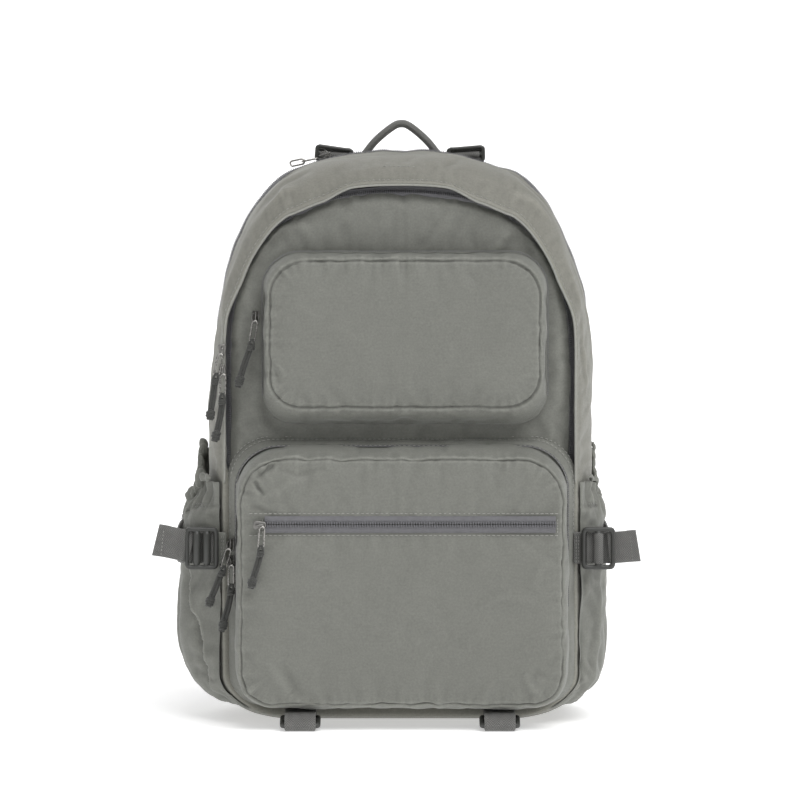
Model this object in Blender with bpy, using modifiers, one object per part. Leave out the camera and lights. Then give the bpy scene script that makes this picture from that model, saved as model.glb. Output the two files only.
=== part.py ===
"""A zipped daypack, built from its sewn panels, pockets, zips, webbing and buckles.

Units are metres. +Z is up and -Y is the outer face, the side that shows when the pack is worn.
"left" is -X, which is also the wearer's left. The origin is on the flat base, under the main body.
"""
import math

import bmesh
import bpy
from mathutils import Matrix, Vector

# ---------------------------------------------------------------- driving dimensions
# main body
BODY_HALF_WIDTH = 0.150
BODY_HEIGHT = 0.4535
BODY_FRONT = -0.065
BODY_BACK = 0.075
ARCH_START = 0.290            # height where the straight sides turn into the arch
ARCH_POWER = 2.5              # exponent of the arch, a superellipse
BASE_CORNER = 0.034
WALL = 0.003
GAP = 0.0004                  # clearance between pieces that touch on the real pack
FRONT_ROUND = 0.045           # depth over which the body draws in towards its front edge
FRONT_INSET_SIDE = 0.010
FRONT_INSET_TOP = 0.0215
FRONT_RISE = 0.007
BACK_ROUND = 0.030
BACK_INSET_SIDE = 0.008
BACK_INSET_TOP = 0.010
BACK_RISE = 0.004

# panels that close the front
HINGE_Z = 0.2285              # the fold line of the front flap
HINGE_Y = -0.0585
PANEL_THICKNESS = 0.003
FLAP_HALF_WIDTH = 0.134
FLAP_TOP = 0.421
LOWER_PANEL_HALF_WIDTH = 0.1365

# pockets on the front
UPPER_POCKET = (-0.108, 0.116, 0.2385, 0.3755)      # left, right, bottom, top
UPPER_POCKET_DEPTH = 0.0315
LOWER_POCKET = (-0.1275, 0.1305, 0.0165, 0.2215)
LOWER_POCKET_DEPTH = 0.0500

# side pockets
SIDE_FRONT = -0.052
SIDE_BACK = 0.060
SIDE_BULGE = 0.0235
SIDE_BOTTOM = 0.014
SIDE_MOUTH = 0.196
SIDE_MOUTH_DROP = 0.023
SIDE_CLEARANCE = 0.0022

# webbing and buckles
WEBBING = 0.025
WEBBING_THICKNESS = 0.0016
LOCK_HEIGHT = 0.0330
LOCK_WIDTH = 0.0260
LOCK_THICKNESS = 0.0040
HANDLE_Y = 0.0790

# zips
COIL_RADIUS = 0.0011
SLIDER = (0.0065, 0.0044, 0.0110)
WIRE_RADIUS = 0.0006
WIRE_HALF_WIDTH = 0.0021
CORD_RADIUS = 0.0017
KNOT_SWELL = 2.3

NYLON = (0.215, 0.220, 0.195)
NYLON_LIGHT = (0.255, 0.253, 0.228)
TAPE = (0.160, 0.160, 0.162)
MESH_GREY = (0.120, 0.122, 0.118)
PLASTIC = (0.060, 0.060, 0.056)
CORD_GREY = (0.075, 0.076, 0.070)
STEEL = (0.550, 0.550, 0.540)

SIDES = (("left", -1.0), ("right", 1.0))


# ---------------------------------------------------------------- scene and materials
def clear_scene():
    for item in list(bpy.data.objects):
        bpy.data.objects.remove(item, do_unlink=True)


def new_collection(name):
    collection = bpy.data.collections.new(name)
    bpy.context.scene.collection.children.link(collection)
    return collection


def new_material(name, colour, roughness, metallic=0.0):
    material = bpy.data.materials.new(name)
    material.use_nodes = True
    shader = material.node_tree.nodes["Principled BSDF"]
    shader.inputs["Base Color"].default_value = (*colour, 1.0)
    shader.inputs["Roughness"].default_value = roughness
    shader.inputs["Metallic"].default_value = metallic
    return material


clear_scene()
DAYPACK = new_collection("daypack")


def add_mesh(name, mesh, colour, roughness=0.85, metallic=0.0):
    """Put a finished mesh in the daypack collection with a material of its own."""
    item = bpy.data.objects.new(name, mesh)
    DAYPACK.objects.link(item)
    mesh.materials.append(new_material(name, colour, roughness, metallic))
    mesh.shade_smooth()
    mesh.set_sharp_from_angle(angle=math.radians(35))
    return item


def move_origin(item, point):
    """Set a moving piece's origin on its joint axis without moving the piece."""
    place = Vector(point)
    item.data.transform(Matrix.Translation(-place))
    item.location = place
    return item


# ---------------------------------------------------------------- outlines
def arch_outline(half_width, top, bottom, corner):
    """Closed outline (x, z) with a flat base, straight sides and a superellipse arch."""
    right = [(0.0, bottom), (0.5 * (half_width - corner), bottom), (half_width - corner, bottom)]
    for step in range(1, 5):
        turn = math.radians(90.0 * step / 4)
        right.append((half_width - corner + corner * math.sin(turn),
                      bottom + corner - corner * math.cos(turn)))
    for step in range(1, 5):
        right.append((half_width, bottom + corner + (ARCH_START - bottom - corner) * step / 4))
    for step in range(1, 14):
        turn = math.radians(90.0 * step / 13)
        right.append((half_width * max(math.cos(turn), 0.0) ** (2.0 / ARCH_POWER),
                      ARCH_START + (top - ARCH_START) * math.sin(turn) ** (2.0 / ARCH_POWER)))
    right[-1] = (0.0, top)
    left = [(-x, z) for x, z in reversed(right[1:-1])]
    return right + left


def rounded_rectangle(left, right, bottom, top, low_corner, high_corner, steps=5):
    """Closed outline (x, z), counter-clockwise seen from the front."""
    points = []
    corners = ((right, bottom, low_corner, -90), (right, top, high_corner, 0),
               (left, top, high_corner, 90), (left, bottom, low_corner, 180))
    for x, z, radius, start in corners:
        centre_x = x - math.copysign(radius, x - 0.5 * (left + right))
        centre_z = z - math.copysign(radius, z - 0.5 * (bottom + top))
        for step in range(steps + 1):
            turn = math.radians(start + 90.0 * step / steps)
            points.append((centre_x + radius * math.cos(turn), centre_z + radius * math.sin(turn)))
    return points


def edge_pull(y):
    """How far the body has drawn in at this depth: (front share, back share), each 0 to 1."""
    front = max(0.0, 1.0 - (y - BODY_FRONT) / FRONT_ROUND) ** 2
    back = max(0.0, 1.0 - (BODY_BACK - y) / BACK_ROUND) ** 2
    return front, back


def body_outline(y, grow=0.0):
    """The main body's section at one depth, grown outwards by a given amount."""
    front, back = edge_pull(y)
    half_width = BODY_HALF_WIDTH - FRONT_INSET_SIDE * front - BACK_INSET_SIDE * back + grow
    top = BODY_HEIGHT - FRONT_INSET_TOP * front - BACK_INSET_TOP * back + grow
    bottom = FRONT_RISE * front + BACK_RISE * back - grow
    return arch_outline(half_width, top, bottom, BASE_CORNER)


def body_half_width(y, z):
    """Half the body's width at one depth and height, below the arch."""
    front, back = edge_pull(y)
    half_width = BODY_HALF_WIDTH - FRONT_INSET_SIDE * front - BACK_INSET_SIDE * back
    rise = BASE_CORNER - (z - FRONT_RISE * front - BACK_RISE * back)
    if rise <= 0.0:
        return half_width
    return half_width - BASE_CORNER + math.sqrt(max(BASE_CORNER ** 2 - rise ** 2, 0.0))


def smooth_path(points, count):
    """Points evenly spaced in parameter along a Catmull-Rom curve through hand-set points."""
    knots = [Vector(p) for p in points]
    knots = [2 * knots[0] - knots[1]] + knots + [2 * knots[-1] - knots[-2]]
    spans = len(knots) - 3
    path = []
    for step in range(count):
        place = spans * step / (count - 1)
        span = min(int(place), spans - 1)
        t = place - span
        a, b, c, d = knots[span:span + 4]
        path.append(0.5 * (2 * b + (c - a) * t + (2 * a - 5 * b + 4 * c - d) * t * t
                           + (3 * b - a - 3 * c + d) * t * t * t))
    return path


# ---------------------------------------------------------------- solids
def loft(name, rings, colour, capped=True, **finish):
    """Skin a list of equal-length closed rings of points, with a face over each end."""
    shape = bmesh.new()
    rows = [[shape.verts.new(point) for point in ring] for ring in rings]
    for low, high in zip(rows, rows[1:]):
        for index in range(len(low)):
            following = (index + 1) % len(low)
            shape.faces.new((low[index], low[following], high[following], high[index]))
    if capped:
        shape.faces.new(list(reversed(rows[0])))
        shape.faces.new(rows[-1])
    bmesh.ops.recalc_face_normals(shape, faces=shape.faces)
    mesh = bpy.data.meshes.new(name)
    shape.to_mesh(mesh)
    shape.free()
    return add_mesh(name, mesh, colour, **finish)


def at_depth(outline, y):
    return [(x, y, z) for x, z in outline]


def panel(name, outline, front, colour):
    """A flat sewn panel: an outline in XZ with the panel thickness behind its front face."""
    return loft(name, [at_depth(outline, front), at_depth(outline, front + PANEL_THICKNESS)], colour)


def ribbon(name, path, across, width, thickness, colour, **finish):
    """A strap: a flat section swept along a path, its width along one fixed direction."""
    side = Vector(across).normalized() * (0.5 * width)
    rings = []
    for index, point in enumerate(path):
        ahead = path[min(index + 1, len(path) - 1)] - path[max(index - 1, 0)]
        up = ahead.cross(side).normalized() * (0.5 * thickness)
        rings.append([point - side - up, point + side - up, point + side + up, point - side + up])
    return loft(name, rings, colour, **finish)


def mesh_of_curve(curve):
    """The closed mesh of a curve, its caps welded on and its faces turned outwards."""
    guide = bpy.data.objects.new(curve.name + "_guide", curve)
    DAYPACK.objects.link(guide)
    evaluated = guide.evaluated_get(bpy.context.evaluated_depsgraph_get())
    mesh = bpy.data.meshes.new_from_object(evaluated)
    bpy.data.objects.remove(guide, do_unlink=True)
    shape = bmesh.new()
    shape.from_mesh(mesh)
    bmesh.ops.remove_doubles(shape, verts=shape.verts, dist=0.00001)
    bmesh.ops.recalc_face_normals(shape, faces=shape.faces)
    shape.to_mesh(mesh)
    shape.free()
    mesh.materials.clear()
    return mesh


def tube(name, path, radius, colour, swell=None, cyclic=False, resolution=2, **finish):
    """A round cord or wire along a path; swell gives each point's share of the radius."""
    curve = bpy.data.curves.new(name, "CURVE")
    curve.dimensions = "3D"
    curve.bevel_depth = radius
    curve.bevel_resolution = resolution
    curve.use_fill_caps = True
    spline = curve.splines.new("POLY")
    spline.points.add(len(path) - 1)
    for index, point in enumerate(path):
        spline.points[index].co = (*point, 1.0)
        spline.points[index].radius = swell[index] if swell else 1.0
    spline.use_cyclic_u = cyclic
    return add_mesh(name, mesh_of_curve(curve), colour, **finish)


def block(name, centre, size, bevel, colour, **finish):
    """A box with rounded edges."""
    shape = bmesh.new()
    bmesh.ops.create_cube(shape, size=1.0)
    bmesh.ops.scale(shape, vec=size, verts=shape.verts)
    bmesh.ops.translate(shape, vec=centre, verts=shape.verts)
    mesh = bpy.data.meshes.new(name)
    shape.to_mesh(mesh)
    shape.free()
    item = add_mesh(name, mesh, colour, **finish)
    rounding = item.modifiers.new("rounded_edges", "BEVEL")
    rounding.width = bevel
    rounding.segments = 2
    return item


def ladder_lock(name, centre, width, height, turn=(90.0, 0.0, 0.0)):
    """A two-slot strap adjuster: a rounded frame with a middle bar, turned by Euler angles."""
    curve = bpy.data.curves.new(name, "CURVE")
    curve.dimensions = "2D"
    curve.fill_mode = "BOTH"
    curve.extrude = 0.5 * LOCK_THICKNESS
    rail = min(0.0040, 0.19 * width)
    slot = (width - 3 * rail) / 2
    half = 0.5 * width
    openings = ((-half + rail, -half + rail + slot), (half - rail - slot, half - rail))
    outlines = [rounded_rectangle(-half, half, -0.5 * height, 0.5 * height, 0.0035, 0.0035, 3)]
    for low, high in openings:
        outlines.append(rounded_rectangle(low, high, -0.5 * height + rail, 0.5 * height - rail,
                                          0.35 * slot, 0.35 * slot, 2))
    for outline in outlines:
        spline = curve.splines.new("POLY")
        spline.points.add(len(outline) - 1)
        for index, (x, z) in enumerate(outline):
            spline.points[index].co = (x, z, 0.0, 1.0)
        spline.use_cyclic_u = True
    item = add_mesh(name, mesh_of_curve(curve), PLASTIC, roughness=0.55)
    item.location = centre
    item.rotation_euler = [math.radians(angle) for angle in turn]
    return item


# ---------------------------------------------------------------- main body
def main_gusset():
    """The band that runs round the bag as base, sides and hood, open to the front and back."""
    depths = (-0.065, -0.060, -0.052, -0.040, -0.022, 0.045, 0.056, 0.066, 0.075)
    rings = [at_depth(body_outline(y), y) for y in depths]
    item = loft("main_gusset", rings, NYLON_LIGHT, capped=False)
    wall = item.modifiers.new("wall", "SOLIDIFY")
    wall.thickness = WALL
    wall.offset = -1.0
    wall.use_even_offset = True


def back_panel():
    """The padded panel against the wearer's back, rounded over its rear edge."""
    front, rear = BODY_BACK + GAP, 0.0895
    rings = []
    for y, inset in ((front, 0.0), (rear - 0.006, 0.0), (rear - 0.0018, 0.002), (rear, 0.006)):
        rings.append(at_depth(body_outline(BODY_BACK, -inset), y))
    loft("back_panel", rings, NYLON)


def laptop_sleeve():
    """The flat sleeve hung inside the back panel."""
    outline = rounded_rectangle(-0.118, 0.118, 0.020, 0.330, 0.015, 0.010)
    loft("laptop_sleeve", [at_depth(outline, 0.0620), at_depth(outline, 0.0720)], MESH_GREY)


def front_panel():
    """The fixed part of the front, behind the lower pocket."""
    outline = rounded_rectangle(-LOWER_PANEL_HALF_WIDTH, LOWER_PANEL_HALF_WIDTH, 0.0110,
                                HINGE_Z - 0.0020, 0.031, 0.001)
    panel("front_panel", outline, HINGE_Y - 0.5 * PANEL_THICKNESS, NYLON)


def front_flap():
    """The part of the front that unzips and folds down over the lower pocket."""
    outline = arch_outline(FLAP_HALF_WIDTH, FLAP_TOP, HINGE_Z, 0.004)
    item = panel("front_flap", outline, HINGE_Y - 0.5 * PANEL_THICKNESS, NYLON)
    move_origin(item, (0.0, HINGE_Y, HINGE_Z))


def arch_strip(name, half_width, top, start, y, radius):
    """A zip coil that climbs one side, follows the arch and comes down the other side."""
    outline = arch_outline(half_width, top, start, 0.001)
    path = [Vector((x, y, z)) for x, z in outline[6:-5]]
    return tube(name, path, radius, TAPE, resolution=1)


# ---------------------------------------------------------------- front pockets
def pocket(name, bounds, depth, corners, taper):
    """A box pocket whose face is drawn in and rounded; taper is (sides, bottom, top)."""
    left, right, bottom, top = bounds
    back = HINGE_Y - 0.5 * PANEL_THICKNESS - GAP
    sides, low, high = taper
    steps = ((0.0, 0.0), (0.35, 0.30), (0.75, 0.80), (0.92, 1.20), (0.985, 1.80), (1.0, 2.70))
    rings = []
    for share, inset in steps:
        outline = rounded_rectangle(left + sides * inset, right - sides * inset, bottom + low * inset,
                                    top - high * inset, corners[0], corners[1])
        rings.append(at_depth(outline, back - depth * share))
    return loft(name, rings, NYLON)


def pocket_coil(name, bounds, low_end, corner, y, offset):
    """A zip coil that runs up one side of a pocket, over its top and down the other side."""
    left, right, _, top = bounds
    outline = rounded_rectangle(left - offset, right + offset, low_end, top + offset, 0.001,
                                corner + offset)
    path = [Vector((x, y, z)) for x, z in outline[5:18]]
    return tube(name, path, COIL_RADIUS, TAPE, resolution=1)


def front_pockets():
    upper = pocket("upper_pocket", UPPER_POCKET, UPPER_POCKET_DEPTH, (0.028, 0.032),
                   (0.0025, 0.0090, 0.0020))
    coil = pocket_coil("upper_pocket_zip", UPPER_POCKET, 0.262, 0.032, -0.0715, COIL_RADIUS + GAP)
    for item in (upper, coil):
        move_origin(item, (0.0, HINGE_Y, HINGE_Z))
    pocket("lower_pocket", LOWER_POCKET, LOWER_POCKET_DEPTH, (0.026, 0.034),
           (0.0020, 0.0022, 0.0038))
    pocket_coil("lower_pocket_top_zip", LOWER_POCKET, 0.094, 0.034, -0.0760, COIL_RADIUS + GAP)
    face = HINGE_Y - 0.5 * PANEL_THICKNESS - GAP - LOWER_POCKET_DEPTH
    outline = rounded_rectangle(-0.1060, 0.1220, 0.1572, 0.1700, 0.0012, 0.0012, 2)
    loft("lower_pocket_front_zip", [at_depth(outline, face - GAP), at_depth(outline, face - 0.0018)],
         TAPE)


# ---------------------------------------------------------------- side pockets
def side_shape(share):
    """How far the pocket stands out along its depth: steep at both seams, full between them."""
    return max(math.sin(math.pi * share), 0.0) ** 0.45


def side_bulge(z):
    """How far the pocket stands out at one height: closed at its foot, full above it."""
    climb = min(max((z - SIDE_BOTTOM) / 0.060, 0.0), 1.0)
    return 0.0012 + (SIDE_BULGE - 0.0012) * math.sin(0.5 * math.pi * climb) ** 0.8


def side_pocket(name, sign):
    """An open-topped pocket on the side of the body, its mouth lowest at the outside."""
    columns = 14
    rows = 11
    shape = bmesh.new()
    grid = []
    for row in range(rows + 1):
        line = []
        for column in range(columns + 1):
            share = column / columns
            mouth = SIDE_MOUTH - SIDE_MOUTH_DROP * side_shape(share)
            z = SIDE_BOTTOM + (mouth - SIDE_BOTTOM) * row / rows
            y = SIDE_FRONT + (SIDE_BACK - SIDE_FRONT) * share
            x = body_half_width(y, z) + SIDE_CLEARANCE + side_bulge(z) * side_shape(share)
            line.append(shape.verts.new((sign * x, y, z)))
        grid.append(line)
    for low, high in zip(grid, grid[1:]):
        for column in range(columns):
            face = (low[column], low[column + 1], high[column + 1], high[column])
            shape.faces.new(face if sign > 0 else tuple(reversed(face)))
    mesh = bpy.data.meshes.new(name)
    shape.to_mesh(mesh)
    shape.free()
    item = add_mesh(name, mesh, NYLON)
    wall = item.modifiers.new("wall", "SOLIDIFY")
    wall.thickness = 0.0018
    wall.offset = 1.0


def side_elastic(name, sign):
    """The gathered elastic hem that stands on the pocket's mouth."""
    radius = 0.0024
    path = []
    for step in range(17):
        share = 0.09 + 0.82 * step / 16
        y = SIDE_FRONT + (SIDE_BACK - SIDE_FRONT) * share
        z = SIDE_MOUTH - SIDE_MOUTH_DROP * side_shape(share) + radius + 0.0016
        x = body_half_width(y, z) + 0.0020 + side_bulge(z) * side_shape(share)
        path.append(Vector((sign * x, y, z)))
    tube(name, path, radius, NYLON, resolution=1)


# ---------------------------------------------------------------- webbing on the sides
def compression(side, sign):
    """The strap over each side pocket: anchor, adjuster, strap round the pocket, loose tail."""
    height = 0.1412
    anchor = [Vector((sign * x, y, height)) for x, y in ((0.1375, -0.0668), (0.1525, -0.0668))]
    up = (0.0, 0.0, 1.0)
    ribbon("compression_anchor_" + side, anchor, up, WEBBING, WEBBING_THICKNESS, TAPE)
    ladder_lock("compression_buckle_" + side, (sign * 0.1567, -0.0705, height), LOCK_WIDTH, LOCK_HEIGHT)
    route = ((0.1620, -0.0668), (0.1740, -0.0655), (0.1812, -0.0560), (0.1826, -0.0300),
             (0.1826, 0.0250), (0.1800, 0.0520), (0.1690, 0.0690), (0.1500, 0.0745))
    path = smooth_path([(sign * x, y, height) for x, y in route], 19)
    ribbon("compression_strap_" + side, path, up, WEBBING, WEBBING_THICKNESS, TAPE)
    lift = 0.0070 if sign < 0 else 0.0024
    start = (sign * 0.1580, -0.0746, height + 0.0010)
    middle = (sign * 0.1740, -0.0752, height + 0.5 * lift)
    end = (sign * 0.1950, -0.0748, height + lift)
    tail = smooth_path([start, middle, end], 5)
    item = ribbon("compression_tail_" + side, tail, up, WEBBING, WEBBING_THICKNESS, TAPE)
    move_origin(item, (sign * 0.1580, -0.0746, height))


# ---------------------------------------------------------------- carrying system
def grab_handle():
    """A folded webbing loop on the top edge, peaked in the middle."""
    route = ((-0.0270, HANDLE_Y, 0.4505), (-0.0195, HANDLE_Y, 0.4590), (-0.0060, HANDLE_Y, 0.4700),
             (0.0012, HANDLE_Y, 0.4725), (0.0085, HANDLE_Y, 0.4700), (0.0215, HANDLE_Y, 0.4590),
             (0.0290, HANDLE_Y, 0.4505))
    item = ribbon("grab_handle", smooth_path(route, 17), (0.0, 1.0, 0.0), 0.0150, 0.0060, TAPE)
    move_origin(item, (0.0, HANDLE_Y, 0.4500))


def shoulder_strap(side, sign):
    """A padded strap that bows away from the back, with an adjuster and webbing at its foot."""
    route = ((0.0500, 0.0975, 0.4120), (0.0505, 0.1050, 0.4290), (0.0520, 0.1220, 0.4250),
             (0.0560, 0.1370, 0.3900), (0.0620, 0.1430, 0.3400), (0.0730, 0.1430, 0.2800),
             (0.0850, 0.1390, 0.2200), (0.0940, 0.1310, 0.1700), (0.0980, 0.1250, 0.1450))
    path = smooth_path([(sign * x, y, z) for x, y, z in route], 26)
    strap = ribbon("shoulder_strap_" + side, path, (1.0, 0.0, 0.0), 0.0600, 0.0100, NYLON)
    rounding = strap.modifiers.new("rounded_edges", "BEVEL")
    rounding.width = 0.0030
    rounding.segments = 1
    rounding.limit_method = "ANGLE"
    rounding.angle_limit = math.radians(60)
    move_origin(strap, (sign * 0.0500, 0.0950, 0.4250))
    ladder_lock("shoulder_ladder_lock_" + side, (sign * 0.0985, 0.1205, 0.1270), 0.0260, 0.0310,
                (0.0, 90.0 + 14.0, 90.0))
    webbing = smooth_path([(sign * 0.1000, 0.1140, 0.1165), (sign * 0.1040, 0.1080, 0.0900),
                           (sign * 0.1120, 0.1000, 0.0500), (sign * 0.1180, 0.0925, 0.0260)], 9)
    ribbon("shoulder_webbing_" + side, webbing, (1.0, 0.0, 0.0), WEBBING, WEBBING_THICKNESS, TAPE)


def load_lifter(side, sign):
    """The strap from the top edge to the shoulder strap, and its adjuster."""
    centre = sign * 0.0535
    ladder_lock("load_lifter_buckle_" + side, (centre, 0.0950, 0.4510), 0.0140, 0.0310,
                (0.0, 90.0, 90.0))
    route = ((0.0935, 0.4340), (0.1010, 0.4425), (0.1130, 0.4435), (0.1270, 0.4360), (0.1440, 0.4130),
             (0.1500, 0.3900))
    path = smooth_path([(centre, y, z) for y, z in route], 10)
    ribbon("load_lifter_strap_" + side, path, (1.0, 0.0, 0.0), WEBBING, WEBBING_THICKNESS, TAPE)


def bottom_strap(side, sign):
    """A short strap under the front edge that ends in an adjuster lying on the ground."""
    centre = sign * 0.0785
    route = [(centre, -0.0662, 0.0125), (centre, -0.0740, 0.0110), (centre, -0.0820, 0.0085)]
    path = smooth_path(route, 5)
    ribbon("bottom_strap_" + side, path, (1.0, 0.0, 0.0), WEBBING, WEBBING_THICKNESS, TAPE)
    ladder_lock("bottom_ladder_lock_" + side, (centre, -0.0970, 0.0066), 0.0240, 0.0320,
                (0.0, -12.0, 90.0))


# ---------------------------------------------------------------- zip sliders and pulls
# each pull: slider centre, top and foot of its wire loop, then the cord's route from there
PULLS = {
    "flap_upper": ((-0.1402, -0.0686, 0.2976), (-0.1412, -0.0722, 0.2950), (-0.1448, -0.0735, 0.2780),
                   ((-0.1462, -0.0740, 0.2700), (-0.1475, -0.0742, 0.2600),
                    (-0.1490, -0.0742, 0.2510), (-0.1500, -0.0742, 0.2430))),
    "flap_lower": ((-0.1402, -0.0686, 0.2815), (-0.1394, -0.0722, 0.2790), (-0.1400, -0.0735, 0.2620),
                   ((-0.1404, -0.0740, 0.2540), (-0.1418, -0.0742, 0.2450),
                    (-0.1440, -0.0742, 0.2350), (-0.1465, -0.0742, 0.2260))),
    "upper_pocket": ((-0.1134, -0.0720, 0.3240), (-0.1140, -0.0760, 0.3215), (-0.1166, -0.0770, 0.3050),
                     ((-0.1190, -0.0772, 0.2970), (-0.1222, -0.0774, 0.2880),
                      (-0.1250, -0.0774, 0.2790), (-0.1278, -0.0774, 0.2690))),
    "lower_upper": ((-0.1334, -0.0760, 0.1445), (-0.1350, -0.0800, 0.1415), (-0.1392, -0.0810, 0.1265),
                    ((-0.1420, -0.0814, 0.1200), (-0.1450, -0.0816, 0.1120),
                     (-0.1484, -0.0816, 0.1040), (-0.1515, -0.0816, 0.0960))),
    "lower_lower": ((-0.1334, -0.0760, 0.1310), (-0.1330, -0.0800, 0.1285), (-0.1332, -0.0812, 0.1120),
                    ((-0.1340, -0.0814, 0.1040), (-0.1358, -0.0816, 0.0950),
                     (-0.1384, -0.0816, 0.0860), (-0.1410, -0.0816, 0.0760))),
    "front_zip": ((-0.1098, -0.1152, 0.1636), (-0.1078, -0.1188, 0.1625), (-0.1088, -0.1198, 0.1460),
                  ((-0.1098, -0.1198, 0.1390), (-0.1120, -0.1196, 0.1310),
                   (-0.1146, -0.1194, 0.1230), (-0.1170, -0.1194, 0.1140))),
}


def wire_loop(name, top, foot, across):
    """A closed bent-wire loop between two points, its width along one direction."""
    top = Vector(top)
    foot = Vector(foot)
    along = (foot - top).normalized()
    side = Vector(across).normalized() * WIRE_HALF_WIDTH
    path = []
    for end, start in ((foot - along * WIRE_HALF_WIDTH, 0), (top + along * WIRE_HALF_WIDTH, 180)):
        for step in range(6):
            turn = math.radians(start + 180.0 * step / 5)
            path.append(end + side * math.cos(turn) + along * (WIRE_HALF_WIDTH * math.sin(turn)))
    return tube(name, path, WIRE_RADIUS, STEEL, cyclic=True, roughness=0.3, metallic=1.0)


def knot_swell(count):
    """Radius shares along a pull cord: thin, then a knot, then a short frayed end."""
    shares = []
    for index in range(count):
        place = index / (count - 1)
        rise = math.exp(-((place - 0.84) / 0.085) ** 2)
        shares.append(1.0 + (KNOT_SWELL - 1.0) * rise)
    return shares


def zip_pulls():
    for name, (centre, top, foot, route) in PULLS.items():
        slider = block("slider_" + name, centre, SLIDER, 0.0012, PLASTIC, roughness=0.5)
        move_origin(slider, centre)
        wire = wire_loop("pull_wire_" + name, top, foot, (1.0, 0.0, 0.0))
        hang = (Vector(foot) - Vector(top)).normalized()
        start = Vector(foot) + hang * (WIRE_RADIUS + 2 * GAP)
        path = smooth_path([start, *route], 17)
        cord = tube("pull_cord_" + name, path, CORD_RADIUS, CORD_GREY, swell=knot_swell(len(path)))
        for item in (wire, cord):
            move_origin(item, top)


def top_zip():
    """The coil along the top rear edge, and its slider, which lies on the slope of the arch."""
    y = 0.0480
    outline = body_outline(y, COIL_RADIUS + GAP)
    path = [Vector((x, y, z)) for x, z in outline[9:-8]]
    tube("top_zip", path, COIL_RADIUS, TAPE, resolution=1)
    slider_x = -0.0600
    coil_top = arch_height(slider_x, y, 2 * COIL_RADIUS + GAP)
    reach = 0.004
    rise = arch_height(slider_x + reach, y, 0.0) - arch_height(slider_x - reach, y, 0.0)
    slope = math.atan2(rise, 2 * reach)
    slider = block("slider_top", (0.0, 0.0, 0.0), (SLIDER[2], SLIDER[0], SLIDER[1]), 0.0012, PLASTIC,
                   roughness=0.5)
    slider.location = (slider_x, y, coil_top + 0.5 * SLIDER[1] + 0.0009)
    slider.rotation_euler = (0.0, -slope, 0.0)
    along = Vector((math.cos(slope), 0.0, math.sin(slope)))
    top = slider.location - along * (0.5 * SLIDER[2] + WIRE_RADIUS + 2 * GAP)
    foot = top - along * 0.0230 + Vector((0.0, 0.0, -0.0006))
    wire = wire_loop("pull_wire_top", top, foot, (0.0, 1.0, 0.0))
    move_origin(wire, top)


def arch_height(x, y, grow):
    """Height of the body's top at one place, grown outwards."""
    front, back = edge_pull(y)
    half_width = BODY_HALF_WIDTH - FRONT_INSET_SIDE * front - BACK_INSET_SIDE * back + grow
    top = BODY_HEIGHT - FRONT_INSET_TOP * front - BACK_INSET_TOP * back + grow
    share = 1.0 - (abs(x) / half_width) ** ARCH_POWER
    return ARCH_START + (top - ARCH_START) * share ** (1.0 / ARCH_POWER)


# ---------------------------------------------------------------- assembly
def build_daypack():
    main_gusset()
    back_panel()
    laptop_sleeve()
    front_panel()
    front_flap()
    arch_strip("flap_zip_outer", 0.1366, 0.4256, 0.197, -0.0549, 0.0011)
    inner = arch_strip("flap_zip_inner", 0.1354, 0.4224, HINGE_Z + 0.006, HINGE_Y, 0.0009)
    move_origin(inner, (0.0, HINGE_Y, HINGE_Z))
    front_pockets()
    for side, sign in SIDES:
        side_pocket("side_pocket_" + side, sign)
        side_elastic("side_pocket_elastic_" + side, sign)
        compression(side, sign)
        shoulder_strap(side, sign)
        load_lifter(side, sign)
        bottom_strap(side, sign)
    grab_handle()
    zip_pulls()
    top_zip()


build_daypack()
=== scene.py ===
"""Looks of a zipped daypack: its sewn nylon shell, pockets, zips, webbing, buckles and pull cords.

Metres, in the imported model's frame: -Y is the outer face, +Z is up, and left is -X.
"""
import math

import bpy
import numpy as np
from mathutils import Matrix, Vector, noise
from mathutils.bvhtree import BVHTree
from mathutils.kdtree import KDTree


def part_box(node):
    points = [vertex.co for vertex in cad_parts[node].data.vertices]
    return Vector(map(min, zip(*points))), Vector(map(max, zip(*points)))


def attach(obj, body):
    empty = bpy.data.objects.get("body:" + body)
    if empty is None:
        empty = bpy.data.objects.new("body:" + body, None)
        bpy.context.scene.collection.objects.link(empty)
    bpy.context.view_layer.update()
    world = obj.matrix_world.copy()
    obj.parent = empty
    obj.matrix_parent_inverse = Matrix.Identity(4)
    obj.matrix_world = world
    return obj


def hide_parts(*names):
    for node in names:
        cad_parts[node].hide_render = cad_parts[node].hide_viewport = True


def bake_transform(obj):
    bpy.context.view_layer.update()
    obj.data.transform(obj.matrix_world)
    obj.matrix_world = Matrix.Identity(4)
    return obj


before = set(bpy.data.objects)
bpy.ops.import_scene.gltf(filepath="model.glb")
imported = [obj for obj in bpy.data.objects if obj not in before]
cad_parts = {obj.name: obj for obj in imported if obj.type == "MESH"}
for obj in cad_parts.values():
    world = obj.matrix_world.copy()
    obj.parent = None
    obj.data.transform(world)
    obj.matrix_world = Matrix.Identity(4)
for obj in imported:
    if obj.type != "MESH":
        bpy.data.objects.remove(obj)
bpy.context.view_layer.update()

# ---------------------------------------------------------------- sizes of the sewn body
BODY_HALF_WIDTH = 0.150
BODY_HEIGHT = 0.4535
BODY_FRONT, BODY_BACK = -0.065, 0.075
ARCH_START = 0.290
ARCH_POWER = 2.5
BASE_CORNER = 0.034
FRONT_ROUND, BACK_ROUND = 0.045, 0.030
FRONT_INSET = (0.010, 0.0215, 0.007)      # sides, top, base
BACK_INSET = (0.008, 0.010, 0.004)
HINGE_Y, HINGE_Z = -0.0585, 0.2285
PANEL_Y = -0.0600
FLAP_HALF_WIDTH, FLAP_TOP = 0.134, 0.421
PANEL_HALF_WIDTH, PANEL_BOTTOM = 0.1365, 0.011
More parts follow.
